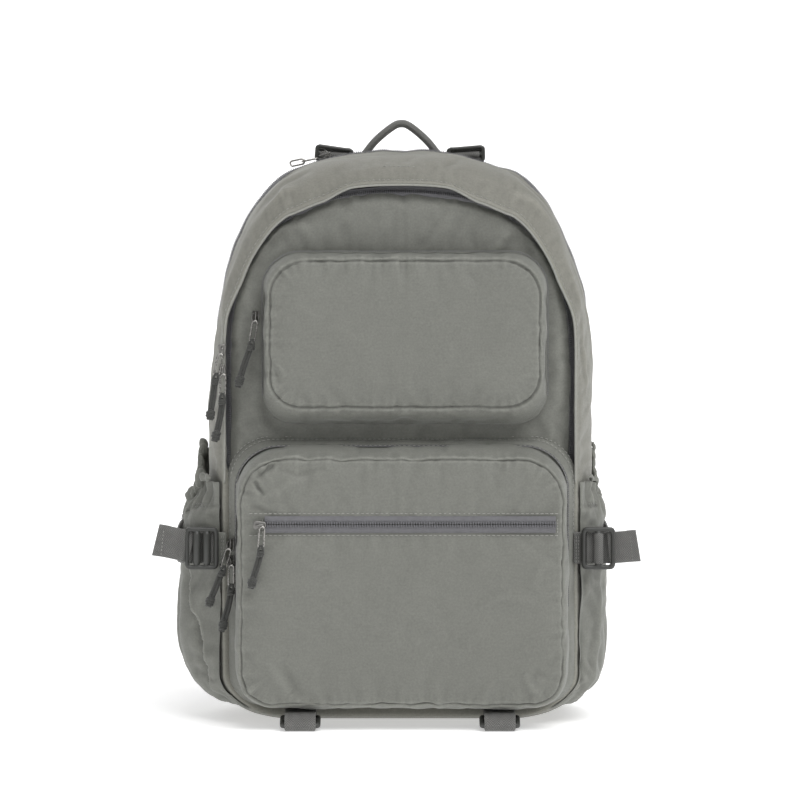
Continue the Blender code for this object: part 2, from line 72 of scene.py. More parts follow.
UPPER_POCKET = (-0.108, 0.116, 0.2385, 0.3755)
LOWER_POCKET = (-0.1275, 0.1305, 0.0165, 0.2215)
UPPER_FORM = (UPPER_POCKET, (0.026, 0.030), (56, 34))      # bounds, low and high corners, divisions
LOWER_FORM = (LOWER_POCKET, (0.026, 0.034), (66, 52))
SIDE_FRONT, SIDE_BACK = -0.0640, 0.060
SIDE_BOTTOM, SIDE_MOUTH, SIDE_MOUTH_DROP = 0.014, 0.196, 0.023
SIDE_BULGE, SIDE_BULGE_RIGHT = 0.0215, 0.0100
WEBBING = 0.025
WEBBING_THICKNESS = 0.0016
HEM_LIFT = 0.0017              # from a strap to its folded end
COMPRESSION_Z = 0.1412
SIDES = (("left", -1.0), ("right", 1.0))
ALONG_X, ALONG_Y, ALONG_Z = (1.0, 0.0, 0.0), (0.0, 1.0, 0.0), (0.0, 0.0, 1.0)
FORWARD = (0.0, -1.0, 0.0)
MIRROR = (-1.0, 1.0)          # turns an (x, z) outline into its other half

# ---------------------------------------------------------------- camera
CAMERA_DISTANCE = 5.0
SENSOR_WIDTH = 36.0
CAMERA_ELEVATION = math.radians(4.0)
FIELD_WIDTH = 0.64
LOOK_AT = Vector((0.0, 0.0, 0.2536))


def placed(name, data):
    """A new object in the scene."""
    piece = bpy.data.objects.new(name, data)
    bpy.context.scene.collection.objects.link(piece)
    return piece


def place_camera():
    data = bpy.data.cameras.new("photo_camera")
    data.sensor_width = SENSOR_WIDTH
    data.lens = SENSOR_WIDTH * CAMERA_DISTANCE / FIELD_WIDTH
    data.clip_start = 0.1
    data.clip_end = 200.0
    camera = placed("photo_camera", data)
    back = Vector((0.0, -math.cos(CAMERA_ELEVATION), math.sin(CAMERA_ELEVATION)))
    camera.location = LOOK_AT + back * CAMERA_DISTANCE
    camera.rotation_euler = (math.radians(90.0) - CAMERA_ELEVATION, 0.0, 0.0)
    bpy.context.scene.camera = camera


place_camera()


# ---------------------------------------------------------------- curves and points
def smoothstep(value):
    value = np.clip(value, 0.0, 1.0)
    return value * value * (3.0 - 2.0 * value)


def smooth_path(points, count):
    """Points along a Catmull-Rom curve through given points."""
    knots = np.array(points, float)
    knots = np.vstack([2 * knots[0] - knots[1], knots, 2 * knots[-1] - knots[-2]])
    spans = len(knots) - 3
    place = np.linspace(0.0, spans, count)
    span = np.minimum(place.astype(int), spans - 1)
    t = (place - span)[:, None]
    a, b, c, d = (knots[span + step] for step in range(4))
    return 0.5 * (2 * b + (c - a) * t + (2 * a - 5 * b + 4 * c - d) * t ** 2
                  + (3 * b - a - 3 * c + d) * t ** 3)


def lengths(path):
    """Distance along a path at each of its points."""
    steps = np.linalg.norm(np.diff(path, axis=0), axis=1)
    return np.concatenate([[0.0], np.cumsum(steps)])


def sampled(places, along, values):
    """Each column of the values, read at places along a path."""
    return np.stack([np.interp(places, along, column) for column in values.T], 1)


def evenly(path, count):
    """The same path with evenly spaced points."""
    path = np.asarray(path, float)
    along = lengths(path)
    return sampled(np.linspace(0.0, along[-1], count), along, path)


def unit(vectors):
    return vectors / np.linalg.norm(vectors, axis=1)[:, None]


def toward(start, end):
    """The direction from one point to another."""
    step = np.asarray(end, float) - np.asarray(start, float)
    return step / np.linalg.norm(step)


def handed(points, sign):
    """Points given for the right side, on the side that the sign says."""
    return [(sign * x, y, z) for x, y, z in points]


def turns(count):
    """Evenly spaced angles round a full turn."""
    return np.linspace(0.0, 2.0 * math.pi, count, endpoint=False)


def grid_shares(columns, rows):
    """Shares from 0 to 1 across a grid and up it."""
    return np.linspace(0.0, 1.0, columns + 1)[None, :], np.linspace(0.0, 1.0, rows + 1)[:, None]


def level(start, end, y, z, count):
    """Points along X."""
    return np.linspace((start, y, z), (end, y, z), count)


def upright(x, y, start, end, count):
    """Points along Z."""
    return np.linspace((x, y, start), (x, y, end), count)


def at_depth(outline, y):
    """A flat (x, z) outline set at one depth."""
    outline = np.asarray(outline, float)
    return np.stack([outline[:, 0], np.full(len(outline), y), outline[:, 1]], 1)


CORNER_STEPS = 25              # points on an arch's low corner
ARCH_FROM = CORNER_STEPS + 1   # its first point above the corner
MID_CORNER, SHOULDER = 13, 70  # where its base meets its side, and its side the top


def arch_half(half_width, top, bottom, corner, arch_start=ARCH_START):
    """Right half of the body's outline, from the middle of the base to the middle of the top."""
    turn = np.radians(np.linspace(0.0, 90.0, CORNER_STEPS))
    low = np.stack([half_width - corner + corner * np.sin(turn), bottom + corner - corner * np.cos(turn)], 1)
    turn = np.radians(np.linspace(0.0, 90.0, 90))
    power = 2.0 / ARCH_POWER
    high = np.stack([half_width * np.clip(np.cos(turn), 0.0, 1.0) ** power,
                     arch_start + (top - arch_start) * np.sin(turn) ** power], 1)
    high[-1] = (0.0, top)
    return np.vstack([[[0.0, bottom]], low, high])


def both_halves(half):
    """An arch over the middle, from its right half."""
    return np.vstack([half, half[::-1][1:] * MIRROR])


def arch_sides(half, columns, rows):
    """An arch's outline as four sides that meet in the middle of its corners and on its shoulders."""
    left = half * MIRROR
    base = np.vstack([left[MID_CORNER:0:-1], half[:MID_CORNER + 1]])
    top = np.vstack([left[SHOULDER:], half[::-1][1:len(half) - SHOULDER]])
    return (evenly(base, columns + 1), evenly(half[MID_CORNER:SHOULDER + 1], rows + 1),
            evenly(top, columns + 1), evenly(left[MID_CORNER:SHOULDER + 1], rows + 1))


def edge_pull(y):
    """How far the body has drawn in at this depth, as shares of the front and back insets."""
    front = max(0.0, 1.0 - (y - BODY_FRONT) / FRONT_ROUND) ** 2
    back = max(0.0, 1.0 - (BODY_BACK - y) / BACK_ROUND) ** 2
    return front, back


def body_size(y, grow=0.0):
    """Half width, top and base of the body's section at one depth."""
    front, back = edge_pull(y)
    sides, top, base = (f * front + b * back for f, b in zip(FRONT_INSET, BACK_INSET))
    return BODY_HALF_WIDTH - sides + grow, BODY_HEIGHT - top + grow, base - grow


def body_half(y, grow=0.0):
    half_width, top, bottom = body_size(y, grow)
    return arch_half(half_width, top, bottom, BASE_CORNER)


def body_half_width(y, z):
    half_width, _, base = body_size(y)
    rise = BASE_CORNER - (z - base)
    if rise <= 0.0:
        return half_width
    return half_width - BASE_CORNER + math.sqrt(max(BASE_CORNER ** 2 - rise ** 2, 0.0))


def mirrored(half, count):
    """A closed outline of 2 * count points from its right half."""
    right = evenly(half, count + 1)
    left = right[1:-1][::-1] * MIRROR
    return np.vstack([right, left])


def rounded_sides(bounds, low_corner, high_corner, columns, rows):
    """A rounded rectangle as four sides that meet in the middle of its corners: base, right, top, left."""
    left, right, bottom, top = bounds
    corners = []
    for x, z, radius, start in ((right, bottom, low_corner, -90), (right, top, high_corner, 0),
                                (left, top, high_corner, 90), (left, bottom, low_corner, 180)):
        centre = np.array([x - math.copysign(radius, x - 0.5 * (left + right)),
                           z - math.copysign(radius, z - 0.5 * (bottom + top))])
        turn = np.radians(start + np.linspace(0.0, 90.0, 17))
        corners.append(centre + radius * np.stack([np.cos(turn), np.sin(turn)], 1))
    low_right, high_right, high_left, low_left = corners
    base = np.vstack([low_left[8:], low_right[:9]])
    side = np.vstack([low_right[8:], high_right[:9]])
    roof = np.vstack([high_right[8:], high_left[:9]])[::-1]
    other = np.vstack([high_left[8:], low_left[:9]])[::-1]
    return (evenly(base, columns + 1), evenly(side, rows + 1), evenly(roof, columns + 1),
            evenly(other, rows + 1))


def ring_of(sides):
    """The closed ring that four sides make, counter-clockwise from the front, from the low left corner."""
    base, right, top, left = sides
    return np.vstack([base[:-1], right[:-1], top[::-1][:-1], left[::-1][:-1]])


def patch(sides):
    """A grid of points that fills four sides (Coons patch)."""
    base, right, top, left = sides
    u = np.linspace(0.0, 1.0, len(base))[None, :, None]
    v = np.linspace(0.0, 1.0, len(left))[:, None, None]
    ruled = (1 - v) * base[None] + v * top[None] + (1 - u) * left[:, None] + u * right[:, None]
    corners = ((1 - u) * (1 - v) * base[0] + u * (1 - v) * base[-1]
               + (1 - u) * v * top[0] + u * v * top[-1])
    return ruled - corners


def border_of(index):
    """The outermost indices of a grid, in ring_of's order."""
    return np.concatenate([index[0, :-1], index[:-1, -1], index[-1, ::-1][:-1], index[::-1, 0][:-1]])


def ring_closed(ring):
    return np.vstack([ring, ring[:1]])


def opened(ring):
    """A ring with a gap, as a path that starts and ends at the gap."""
    gap = np.argmax(np.linalg.norm(np.diff(ring_closed(ring), axis=0), axis=1)) + 1
    return np.roll(ring, -gap, axis=0)


# ---------------------------------------------------------------- mesh building
class Shape:
    """Collects the vertices, faces and cloth coordinates of one piece."""

    def __init__(self):
        self.vertices = []
        self.faces = []
        self.uvs = []
        self.total = 0

    def add(self, points):
        start = self.total
        self.vertices.append(np.asarray(points, float).reshape(-1, 3))
        self.total += len(self.vertices[-1])
        return start

    def numbered(self, points):
        """Add a grid of points and return its index grid."""
        return self.add(points) + np.arange(points.shape[0] * points.shape[1]).reshape(points.shape[:2])

    def quads(self, index, uv):
        """Faces between neighbouring rows and columns of an index grid, with the grid's coordinates."""
        for pick in ((0, 0), (0, 1), (1, 1), (1, 0)):
            rows = slice(pick[0], index.shape[0] - 1 + pick[0])
            columns = slice(pick[1], index.shape[1] - 1 + pick[1])
            yield index[rows, columns].ravel(), uv[rows, columns].reshape(-1, 2)

    def grid(self, points, index=None, closed=False, flip=False, uv=None):
        """A grid of points; closed joins the last column to the first."""
        if index is None:
            index = self.numbered(points)
        if closed:
            index = np.hstack([index, index[:, :1]])
            points = np.concatenate([points, points[:, :1]], 1)
        if uv is None:
            across = np.linalg.norm(np.diff(points, axis=1), axis=2).mean(0)
            along = np.linalg.norm(np.diff(points, axis=0), axis=2).mean(1)
            u, v = (np.concatenate([[0.0], np.cumsum(steps)]) for steps in (across, along))
            uv = np.stack(np.meshgrid(u, v), -1)
        corners = list(self.quads(index, uv))
        face = np.stack([corner for corner, _ in corners], 1)
        place = np.stack([place for _, place in corners], 1)
        if flip:
            face, place = face[:, ::-1], place[:, ::-1]
        self.faces.append(face)
        self.uvs.append(place.reshape(-1, 2))
        return index

    def sweep(self, path, section, across=None, scale=None, cyclic=False, twist=0.0):
        """A closed section swept along a path. across fixes the section's first direction."""
        path = np.asarray(path, float)
        section = np.asarray(section, float)
        count = len(path)
        if cyclic:
            ahead = np.roll(path, -1, axis=0) - np.roll(path, 1, axis=0)
        else:
            ahead = np.gradient(path, axis=0)
        ahead /= np.maximum(np.linalg.norm(ahead, axis=1), 1e-12)[:, None]
        if across is None:
            guess = np.cross(ahead[0], (0.13, 0.21, 0.97))
            if np.linalg.norm(guess) < 0.1:
                guess = np.cross(ahead[0], (1.0, 0.0, 0.0))
            side = np.zeros_like(ahead)
            side[0] = guess / np.linalg.norm(guess)
            for step in range(1, count):
                moved = side[step - 1] - ahead[step] * side[step - 1].dot(ahead[step])
                side[step] = moved / np.linalg.norm(moved)
        else:
            side = np.broadcast_to(np.asarray(across, float), path.shape).copy()
            side -= ahead * (side * ahead).sum(1)[:, None]
            side /= np.linalg.norm(side, axis=1)[:, None]
        up = np.cross(ahead, side)
        if twist:
            turn = twist * np.arange(count)
            side, up = (side * np.cos(turn)[:, None] + up * np.sin(turn)[:, None],
                        up * np.cos(turn)[:, None] - side * np.sin(turn)[:, None])
        scale = np.ones(count) if scale is None else np.asarray(scale, float)
        rings = (path[:, None] + side[:, None] * (section[None, :, :1] * scale[:, None, None])
                 + up[:, None] * (section[None, :, 1:] * scale[:, None, None]))
        along = lengths(path)
        round_it = lengths(ring_closed(section))
        uv = np.stack(np.meshgrid(round_it, along), -1)[..., ::-1]
        if cyclic:
            rings = ring_closed(rings)
            index = ring_closed(self.numbered(rings[:-1]))
            uv = np.concatenate([uv, uv[-1:] + (along[1], 0.0)], 0)
        else:
            index = self.numbered(rings)
        self.grid(rings, index=index, closed=True, uv=uv)
        if not cyclic:
            for ring, turned in ((index[0], True), (index[-1], False)):
                face = ring[::-1] if turned else ring
                centre = self.add(self.all_points()[ring].mean(0))
                following = np.roll(face, -1)
                self.faces.append(np.stack([face, following, np.full(len(face), centre)], 1))
                self.uvs.append(np.zeros((3 * len(face), 2)))
        return index

    def skirt(self, rings, border, flip=False):
        """Join rings to the border of a grid; the last ring lies on that border."""
        outer = self.numbered(np.stack(rings[:-1]))
        self.grid(np.stack(rings), index=np.vstack([outer, border]), closed=True, flip=flip)
        return outer

    def all_points(self):
        return np.vstack(self.vertices)

    def build(self, name, material):
        mesh = bpy.data.meshes.new(name)
        faces = [face for group in self.faces for face in group.tolist()]
        mesh.from_pydata(self.all_points().tolist(), [], faces)
        layer = mesh.uv_layers.new(name="cloth")
        layer.data.foreach_set("uv", np.vstack(self.uvs).astype(np.float32).ravel())
        mesh.materials.append(material)
        mesh.shade_smooth()
        return placed(name, mesh)

    def finish(self, name, material, body, slot, *nodes):
        """Build the piece and finish it with finish_piece: rest positions stored, replaced model parts
        hidden, parented to its body.
        """
        return finish_piece(self.build(name, material), body, slot, *nodes)


def points_of(mesh):
    flat = np.empty(len(mesh.vertices) * 3, np.float32)
    mesh.vertices.foreach_get("co", flat)
    return flat.reshape(-1, 3).astype(float)


def set_points(mesh, points):
    mesh.vertices.foreach_set("co", np.asarray(points, np.float32).ravel())
    mesh.update()


def normals_of(mesh):
    flat = np.empty(len(mesh.vertices) * 3, np.float32)
    mesh.vertex_normals.foreach_get("vector", flat)
    return flat.reshape(-1, 3).astype(float)


def applied(piece):
    """Replace a piece's mesh with its evaluated one, so that no modifier is left."""
    evaluated = piece.evaluated_get(bpy.context.evaluated_depsgraph_get())
    mesh = bpy.data.meshes.new_from_object(evaluated, preserve_all_data_layers=True,
                                           depsgraph=bpy.context.evaluated_depsgraph_get())
    old = piece.data
    piece.modifiers.clear()
    piece.data = mesh
    bpy.data.meshes.remove(old)
    return piece


def refined(piece, levels=1):
    """Subdivide a piece smoothly."""
    rounding = piece.modifiers.new("rounding", "SUBSURF")
    rounding.levels = levels
    rounding.render_levels = levels
    rounding.boundary_smooth = "PRESERVE_CORNERS"
    return applied(piece)


def keep_above(piece, floor):
    """Flatten whatever hangs below a height onto it."""
    points = points_of(piece.data)
    points[:, 2] = np.maximum(points[:, 2], floor)
    set_points(piece.data, points)


def ridge(points, path, width, height):
    """Offsets of a soft fold: highest along the middle of its path, nothing at its ends."""
    path = np.asarray(path, float)
    best = np.full(len(points), 1e9)
    place = np.zeros(len(points))
    along = lengths(path) / lengths(path)[-1]
    for step in range(len(path) - 1):
        start, run = path[step], path[step + 1] - path[step]
        t = np.clip(((points - start) @ run) / run.dot(run), 0.0, 1.0)
        distance = np.linalg.norm(points - start - t[:, None] * run, axis=1)
        nearer = distance < best
        best = np.where(nearer, distance, best)
        place = np.where(nearer, along[step] + t * (along[step + 1] - along[step]), place)
    sharpness = 1.2 if width < 0.003 else 2.0
    return height * np.sin(np.pi * np.clip(place, 0.0, 1.0)) ** 0.6 * np.exp(-(best / width) ** sharpness)


def waves(points, size, height, seed=0.0, stretch=(1.0, 1.0, 1.0)):
    """Offsets of smooth random unevenness with features of about one size."""
    shift = Vector((seed * 3.7, seed * 1.3, seed * 7.9))
    scaled = points * (np.array(stretch) / size)
    return np.array([noise.noise(Vector(p) + shift) for p in scaled]) * height


SEAM_STEP = 0.0008            # spacing of the points that a seam is measured from


def puckers(points, seam, depth, height, reach, pitch, seed=0.0, groove=0.0012):
    """Offsets beside a sewn seam: a groove along it and small gathers across it."""
    seam = evenly(seam, max(int(lengths(np.asarray(seam, float))[-1] / SEAM_STEP), 8))
    tree = KDTree(len(seam))
    for index, point in enumerate(seam):
        tree.insert(point, index)
    tree.balance()
    found = [tree.find(point) for point in points]
    distance = np.array([hit[2] for hit in found])
    along = np.array([hit[1] for hit in found]) * (SEAM_STEP / pitch)
    gather = np.array([noise.noise((a, seed, 0.5)) + 0.5 * noise.noise((2.3 * a, seed + 5.0, 0.5))
                       for a in along])
    return (height * gather * np.exp(-(distance / reach) ** 1.3)
            - depth * np.exp(-(distance / groove) ** 2))


def surface_of(piece):
    faces = [list(face.vertices) for face in piece.data.polygons]
    return BVHTree.FromPolygons(points_of(piece.data).tolist(), faces)


def laid_on(surface, path, lift=0.0):
    """A path moved onto a surface, and the surface's directions there."""
    found = [surface.find_nearest(Vector(point)) for point in path]
    outward = np.array([hit[1] for hit in found])
    return np.array([hit[0] for hit in found]) + outward * lift, outward


def push(piece, *offsets):
    """Move a piece's points along its normals by the sum of the offsets."""
    points = points_of(piece.data)
    set_points(piece.data, points + normals_of(piece.data) * sum(offsets)[:, None])


FRAMES = 18                    # frames that a cloth is given to settle
CLOTH_STIFFNESS = 12.0
CLOTH_BENDING = 0.4


def settle(piece, pinned, pressure, slack, cap):
    """Simulate a cloth held at its seams, with spare cloth and air behind it, and keep its result."""
    start = points_of(piece.data)
    group = piece.vertex_groups.new(name="held")
    for index in np.flatnonzero(pinned > 0.0):
        group.add([int(index)], float(pinned[index]), "REPLACE")
    cloth = piece.modifiers.new("settling", "CLOTH")
    settings = cloth.settings
    settings.quality = 6
    settings.mass = 0.3
    settings.tension_stiffness = CLOTH_STIFFNESS
    settings.compression_stiffness = CLOTH_STIFFNESS
    settings.shear_stiffness = 0.4 * CLOTH_STIFFNESS
    settings.bending_stiffness = CLOTH_BENDING
    settings.air_damping = 4.0
    settings.vertex_group_mass = "held"
    settings.use_pressure = True
    settings.uniform_pressure_force = pressure
    settings.shrink_min = -slack
    settings.effector_weights.gravity = 0.0
    cloth.point_cache.frame_start = 1
    cloth.point_cache.frame_end = FRAMES
    for step in range(1, FRAMES + 1):
        bpy.context.scene.frame_set(step)
    evaluated = piece.evaluated_get(bpy.context.evaluated_depsgraph_get())
    moved = points_of(evaluated.data) - start
    piece.modifiers.clear()
    bpy.context.scene.frame_set(1)
    distance = np.maximum(np.linalg.norm(moved, axis=1), 1e-9)
    shown = cap * np.tanh(distance / cap)
    set_points(piece.data, start + moved * (shown / distance)[:, None])
    piece.vertex_groups.clear()


def held_edges(grid):
    """How firmly each point of a cloth is held: fully along its four edges, and not inside them."""
    held = np.zeros(grid.shape[:2])
    held[0] = held[-1] = held[:, 0] = held[:, -1] = 1.0
    return held


def finish_piece(piece, body, slot, *nodes):
    """Store the piece's rest positions for its material, hide the model parts that it replaces, and parent it
    to its body's empty; a piece that spans two bodies only has its transform baked.
    """
    rest = piece.data.attributes.new("rest", "FLOAT_VECTOR", "POINT")
    rest.data.foreach_set("vector", points_of(piece.data).astype(np.float32).ravel())
    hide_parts(*nodes)
    if isinstance(body, str):
        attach(piece, body)
    else:
        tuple(body[2])
        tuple(body[3])
        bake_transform(piece)
    return piece


# ---------------------------------------------------------------- materials
class Nodes:
    """Shorthand for a material's node tree."""

    def __init__(self, name, colour, roughness, metallic=0.0):
        self.material = bpy.data.materials.new(name)
        self.material.use_nodes = True
        self.tree = self.material.node_tree
        self.shader = self.tree.nodes["Principled BSDF"]
        self.colour = (*colour, 1.0)
        self.shader.inputs["Base Color"].default_value = self.colour
        self.shader.inputs["Roughness"].default_value = roughness
        self.shader.inputs["Metallic"].default_value = metallic

    def set(self, **values):
        for name, value in values.items():
            self.shader.inputs[name.replace("_", " ")].default_value = value

    def add(self, kind, inputs=None, **settings):
        node = self.tree.nodes.new("ShaderNode" + kind)
        for name, value in settings.items():
            setattr(node, name, value)
        for name, value in (inputs or {}).items():
            if isinstance(value, bpy.types.NodeSocket):
                self.tree.links.new(value, node.inputs[name])
            else:
                node.inputs[name].default_value = value
        return node

    def math(self, operation, a, b=0.0):
        return self.add("Math", {0: a, 1: b}, operation=operation).outputs[0]

    def rest(self):
        return self.add("Attribute", attribute_name="rest").outputs["Vector"]

    def cloth(self):
        split = self.add("SeparateXYZ", {0: self.add("UVMap", uv_map="cloth").outputs["UV"]})
        return split.outputs["X"], split.outputs["Y"]

    def ridge_light_hollow_shade(self):
        """Painted light: high on the ridges of the mesh for a painted highlight, low in its hollows for
        painted shade.
        """
        return self.add("NewGeometry").outputs["Pointiness"]

    def noise(self, vector, scale, detail=2.0, roughness=0.5):
        inputs = {"Vector": vector, "Scale": scale, "Detail": detail, "Roughness": roughness}
        return self.add("TexNoise", inputs).outputs["Fac"]

    def span(self, value, low, high, to_low, to_high):
        inputs = {"Value": value, "From Min": low, "From Max": high, "To Min": to_low, "To Max": to_high}
        return self.add("MapRange", inputs).outputs["Result"]

    def bump(self, height, distance, after=None, strength=1.0):
        inputs = {"Height": height, "Distance": distance, "Strength": strength}
        if after is not None:
            inputs["Normal"] = after
        return self.add("Bump", inputs).outputs["Normal"]

    def tinted(self, *factors):
        """The base colour, brightened or darkened by the product of the factors."""
        product = factors[0]
        for factor in factors[1:]:
            product = self.math("MULTIPLY", product, factor)
        scaled = self.add("VectorMath", {0: self.colour[:3], 3: product}, operation="SCALE")
        self.tree.links.new(scaled.outputs[0], self.shader.inputs["Base Color"])

    def finish(self, normal=None, roughness=None):
        if normal is not None:
            self.tree.links.new(normal, self.shader.inputs["Normal"])
        if roughness is not None:
            self.tree.links.new(roughness, self.shader.inputs["Roughness"])
        return self.material

    def ripple(self, value, pitch):
        """A sine of the given pitch in metres, from 0 to 1."""
        turned = self.math("SINE", self.math("MULTIPLY", value, 2.0 * math.pi / pitch))
        return self.span(turned, -1.0, 1.0, 0.0, 1.0)


def fabric(name, colour, crinkle=0.00035, pitch=0.0007, relief=0.00005, roughness=0.62, mottle=0.035):
    """Plain-woven nylon: a fine weave, soft crinkles, uneven dye, and a painted highlight on the mesh's
    ridges with painted shade in its hollows.
    """
    n = Nodes(name, colour, roughness)
    n.set(Specular_IOR_Level=0.35, Sheen_Weight=0.22, Sheen_Roughness=0.45,
          Sheen_Tint=(0.92, 0.93, 0.90, 1.0))
    rest = n.rest()
    u, v = n.cloth()
    weave = n.math("MULTIPLY", n.ripple(u, pitch), n.ripple(v, pitch))
    cloudy = n.noise(rest, 28.0, 3.0, 0.55)
    speckle = n.noise(rest, 620.0, 3.0, 0.7)
    stretched = n.add("VectorMath", {0: rest, 1: (90.0, 90.0, 700.0)}, operation="MULTIPLY")
    slub = n.noise(stretched.outputs[0], 1.0)
    n.tinted(n.span(cloudy, 0.25, 0.75, 1.0 - mottle, 1.0 + mottle),
             n.span(speckle, 0.25, 0.75, 0.86, 1.14),
             n.span(slub, 0.3, 0.7, 0.975, 1.025),
             # painted highlight on the mesh's ridges and painted shade in its hollows
             n.span(n.ridge_light_hollow_shade(), 0.46, 0.54, 0.72, 1.22))
    bent = n.math("ABSOLUTE", n.math("SUBTRACT", n.noise(rest, 26.0, 1.0, 0.4), 0.5))
    creases = n.math("MULTIPLY", n.span(bent, 0.0, 0.060, 1.0, 0.0),
                     n.span(n.noise(rest, 15.0), 0.52, 0.66, 0.0, 1.0))
    folds = n.bump(creases, 0.7 * crinkle)
    soft = n.bump(n.noise(rest, 42.0, 2.0, 0.45), crinkle, folds)
    fine = n.bump(n.noise(rest, 190.0, 2.0, 0.5), 0.25 * crinkle, soft)
    woven = n.bump(weave, relief, fine)
    return n.finish(woven, n.span(cloudy, 0.2, 0.8, roughness - 0.05, roughness + 0.06))


def webbing(name, colour, chevron=0.0042, pitch=0.0017):
    """Woven strap: herringbone columns across the width, with a firmer edge; a painted highlight on its edges
    and painted shade in its hollows.
    """
    n = Nodes(name, colour, 0.58)
    n.set(Specular_IOR_Level=0.4, Sheen_Weight=0.15, Sheen_Roughness=0.4)
    u, v = n.cloth()
    zigzag = n.math("PINGPONG", v, chevron)
    ribs = n.ripple(n.math("ADD", u, zigzag), pitch)
    threads = n.ripple(v, 0.0006)
    patchy = n.noise(n.rest(), 160.0, 3.0)
    n.tinted(n.span(ribs, 0.0, 1.0, 0.64, 1.26), n.span(patchy, 0.3, 0.7, 0.92, 1.08),
             # painted highlight on the strap's edges and painted shade in its hollows
             n.span(n.ridge_light_hollow_shade(), 0.45, 0.55, 0.8, 1.2))
    raised = n.bump(ribs, 0.00035)
    return n.finish(n.bump(threads, 0.00006, raised), n.span(patchy, 0.3, 0.7, 0.52, 0.66))


def tape(name, colour):
    """Knitted zip tape: fine ribs along it and a faint chevron across."""
    n = Nodes(name, colour, 0.66)
    n.set(Specular_IOR_Level=0.3, Sheen_Weight=0.2)
    u, v = n.cloth()
    ribs = n.ripple(v, 0.0009)
    knit = n.ripple(n.math("ADD", u, n.math("PINGPONG", v, 0.0009)), 0.0011)
    patchy = n.noise(n.rest(), 240.0, 2.0)
    n.tinted(n.span(ribs, 0.0, 1.0, 0.88, 1.08), n.span(knit, 0.0, 1.0, 0.86, 1.10),
             n.span(patchy, 0.3, 0.7, 0.93, 1.07))
    return n.finish(n.bump(ribs, 0.00010, n.bump(knit, 0.00010)))


def plastic(name, colour, roughness=0.42, grain=0.00003):
    """Moulded buckle plastic: fine grain and scuffs, with a painted highlight on its ridges and painted shade
    in its hollows.
    """
    n = Nodes(name, colour, roughness)
    n.set(Specular_IOR_Level=0.5)
    place = n.add("TexCoord").outputs["Object"]
    pits = n.noise(place, 2600.0, 2.0)
    scuffs = n.noise(place, 220.0, 4.0, 0.65)
    # painted highlight on the plastic's ridges and painted shade in its hollows
    n.tinted(n.span(scuffs, 0.3, 0.75, 0.9, 1.15), n.span(n.ridge_light_hollow_shade(), 0.46, 0.60, 0.9, 1.25))
    return n.finish(n.bump(pits, grain), n.span(scuffs, 0.3, 0.7, roughness - 0.07, roughness + 0.14))


def metal(name, colour, roughness=0.32):
    """Plated zip metal, dulled unevenly."""
    n = Nodes(name, colour, roughness, 1.0)
    place = n.add("TexCoord").outputs["Object"]
    dull = n.noise(place, 500.0, 3.0)
    n.tinted(n.span(dull, 0.3, 0.7, 0.82, 1.1))
    return n.finish(n.bump(n.noise(place, 1500.0), 0.00002),
                    n.span(dull, 0.3, 0.7, roughness - 0.1, roughness + 0.16))


def braid(name, colour):
    """Braided cord: two sets of strands that cross round it."""
    n = Nodes(name, colour, 0.6)
    n.set(Specular_IOR_Level=0.35, Sheen_Weight=0.25)
    u, v = n.cloth()
    one = n.ripple(n.math("ADD", u, v), 0.0011)
    other = n.ripple(n.math("SUBTRACT", u, v), 0.0011)
    strands = n.math("MAXIMUM", one, other)
    n.tinted(n.span(strands, 0.2, 1.0, 0.6, 1.25), n.span(n.noise(n.rest(), 700.0), 0.3, 0.7, 0.85, 1.15))
    return n.finish(n.bump(strands, 0.00018))


def spacer_mesh(name, colour, cell=0.0034):
    """Breathable spacer fabric: a net of small holes over foam."""
    n = Nodes(name, colour, 0.75)
    n.set(Sheen_Weight=0.3, Specular_IOR_Level=0.25)
    rest = n.rest()
    cells = n.add("TexVoronoi", {"Vector": rest, "Scale": 1.0 / cell, "Randomness": 0.15}).outputs["Distance"]
    net = n.span(cells, 0.12, 0.42, 0.0, 1.0)
    n.tinted(n.span(net, 0.0, 1.0, 0.45, 1.15), n.span(n.noise(rest, 30.0, 3.0), 0.3, 0.7, 0.94, 1.06))
    return n.finish(n.bump(net, 0.0007))


def thread(name, colour):
    """Sewing thread: twisted strands that catch the light."""
    n = Nodes(name, colour, 0.5)
    n.set(Sheen_Weight=0.3)
    strands = n.noise(n.rest(), 2200.0, 1.0)
    n.tinted(n.span(strands, 0.3, 0.7, 0.8, 1.15))
    return n.finish(n.bump(strands, 0.00005))


NYLON = fabric("nylon_fabric", (0.177, 0.180, 0.161))
# Painted light: a brighter copy of the nylon for the gusset shell, standing in for the extra light that the
# hood's top catches.
BRIGHTENED_HOOD_NYLON = fabric("hood_nylon_painted_light", (0.206, 0.203, 0.177), crinkle=0.00045)
# Painted highlight: the bindings and piping use a paler nylon that stands in for the light their rounded
# edges catch.
HIGHLIT_PIPED_NYLON = fabric("piped_nylon_painted_highlight", (0.245, 0.246, 0.224), crinkle=0.00015)
LINING = fabric("lining", (0.060, 0.061, 0.058), crinkle=0.0005, roughness=0.7)
TAPE = tape("zip_tape", (0.158, 0.157, 0.166))
WEB = webbing("webbing", (0.135, 0.134, 0.128))
HANDLE_WEB = webbing("handle_webbing", (0.150, 0.150, 0.141), chevron=0.0030, pitch=0.0014)
PLASTIC = plastic("buckle_plastic", (0.040, 0.041, 0.038), 0.36)
SLIDER = metal("slider_metal", (0.22, 0.215, 0.205), 0.34)
WIRE = metal("pull_wire", (0.40, 0.39, 0.37), 0.24)
CORD = braid("pull_cord", (0.046, 0.047, 0.043))
SPACER = spacer_mesh("spacer_mesh", (0.105, 0.108, 0.103))
THREAD = thread("stitching", (0.33, 0.33, 0.305))
DARK_THREAD = thread("dark_stitching", (0.16, 0.16, 0.15))


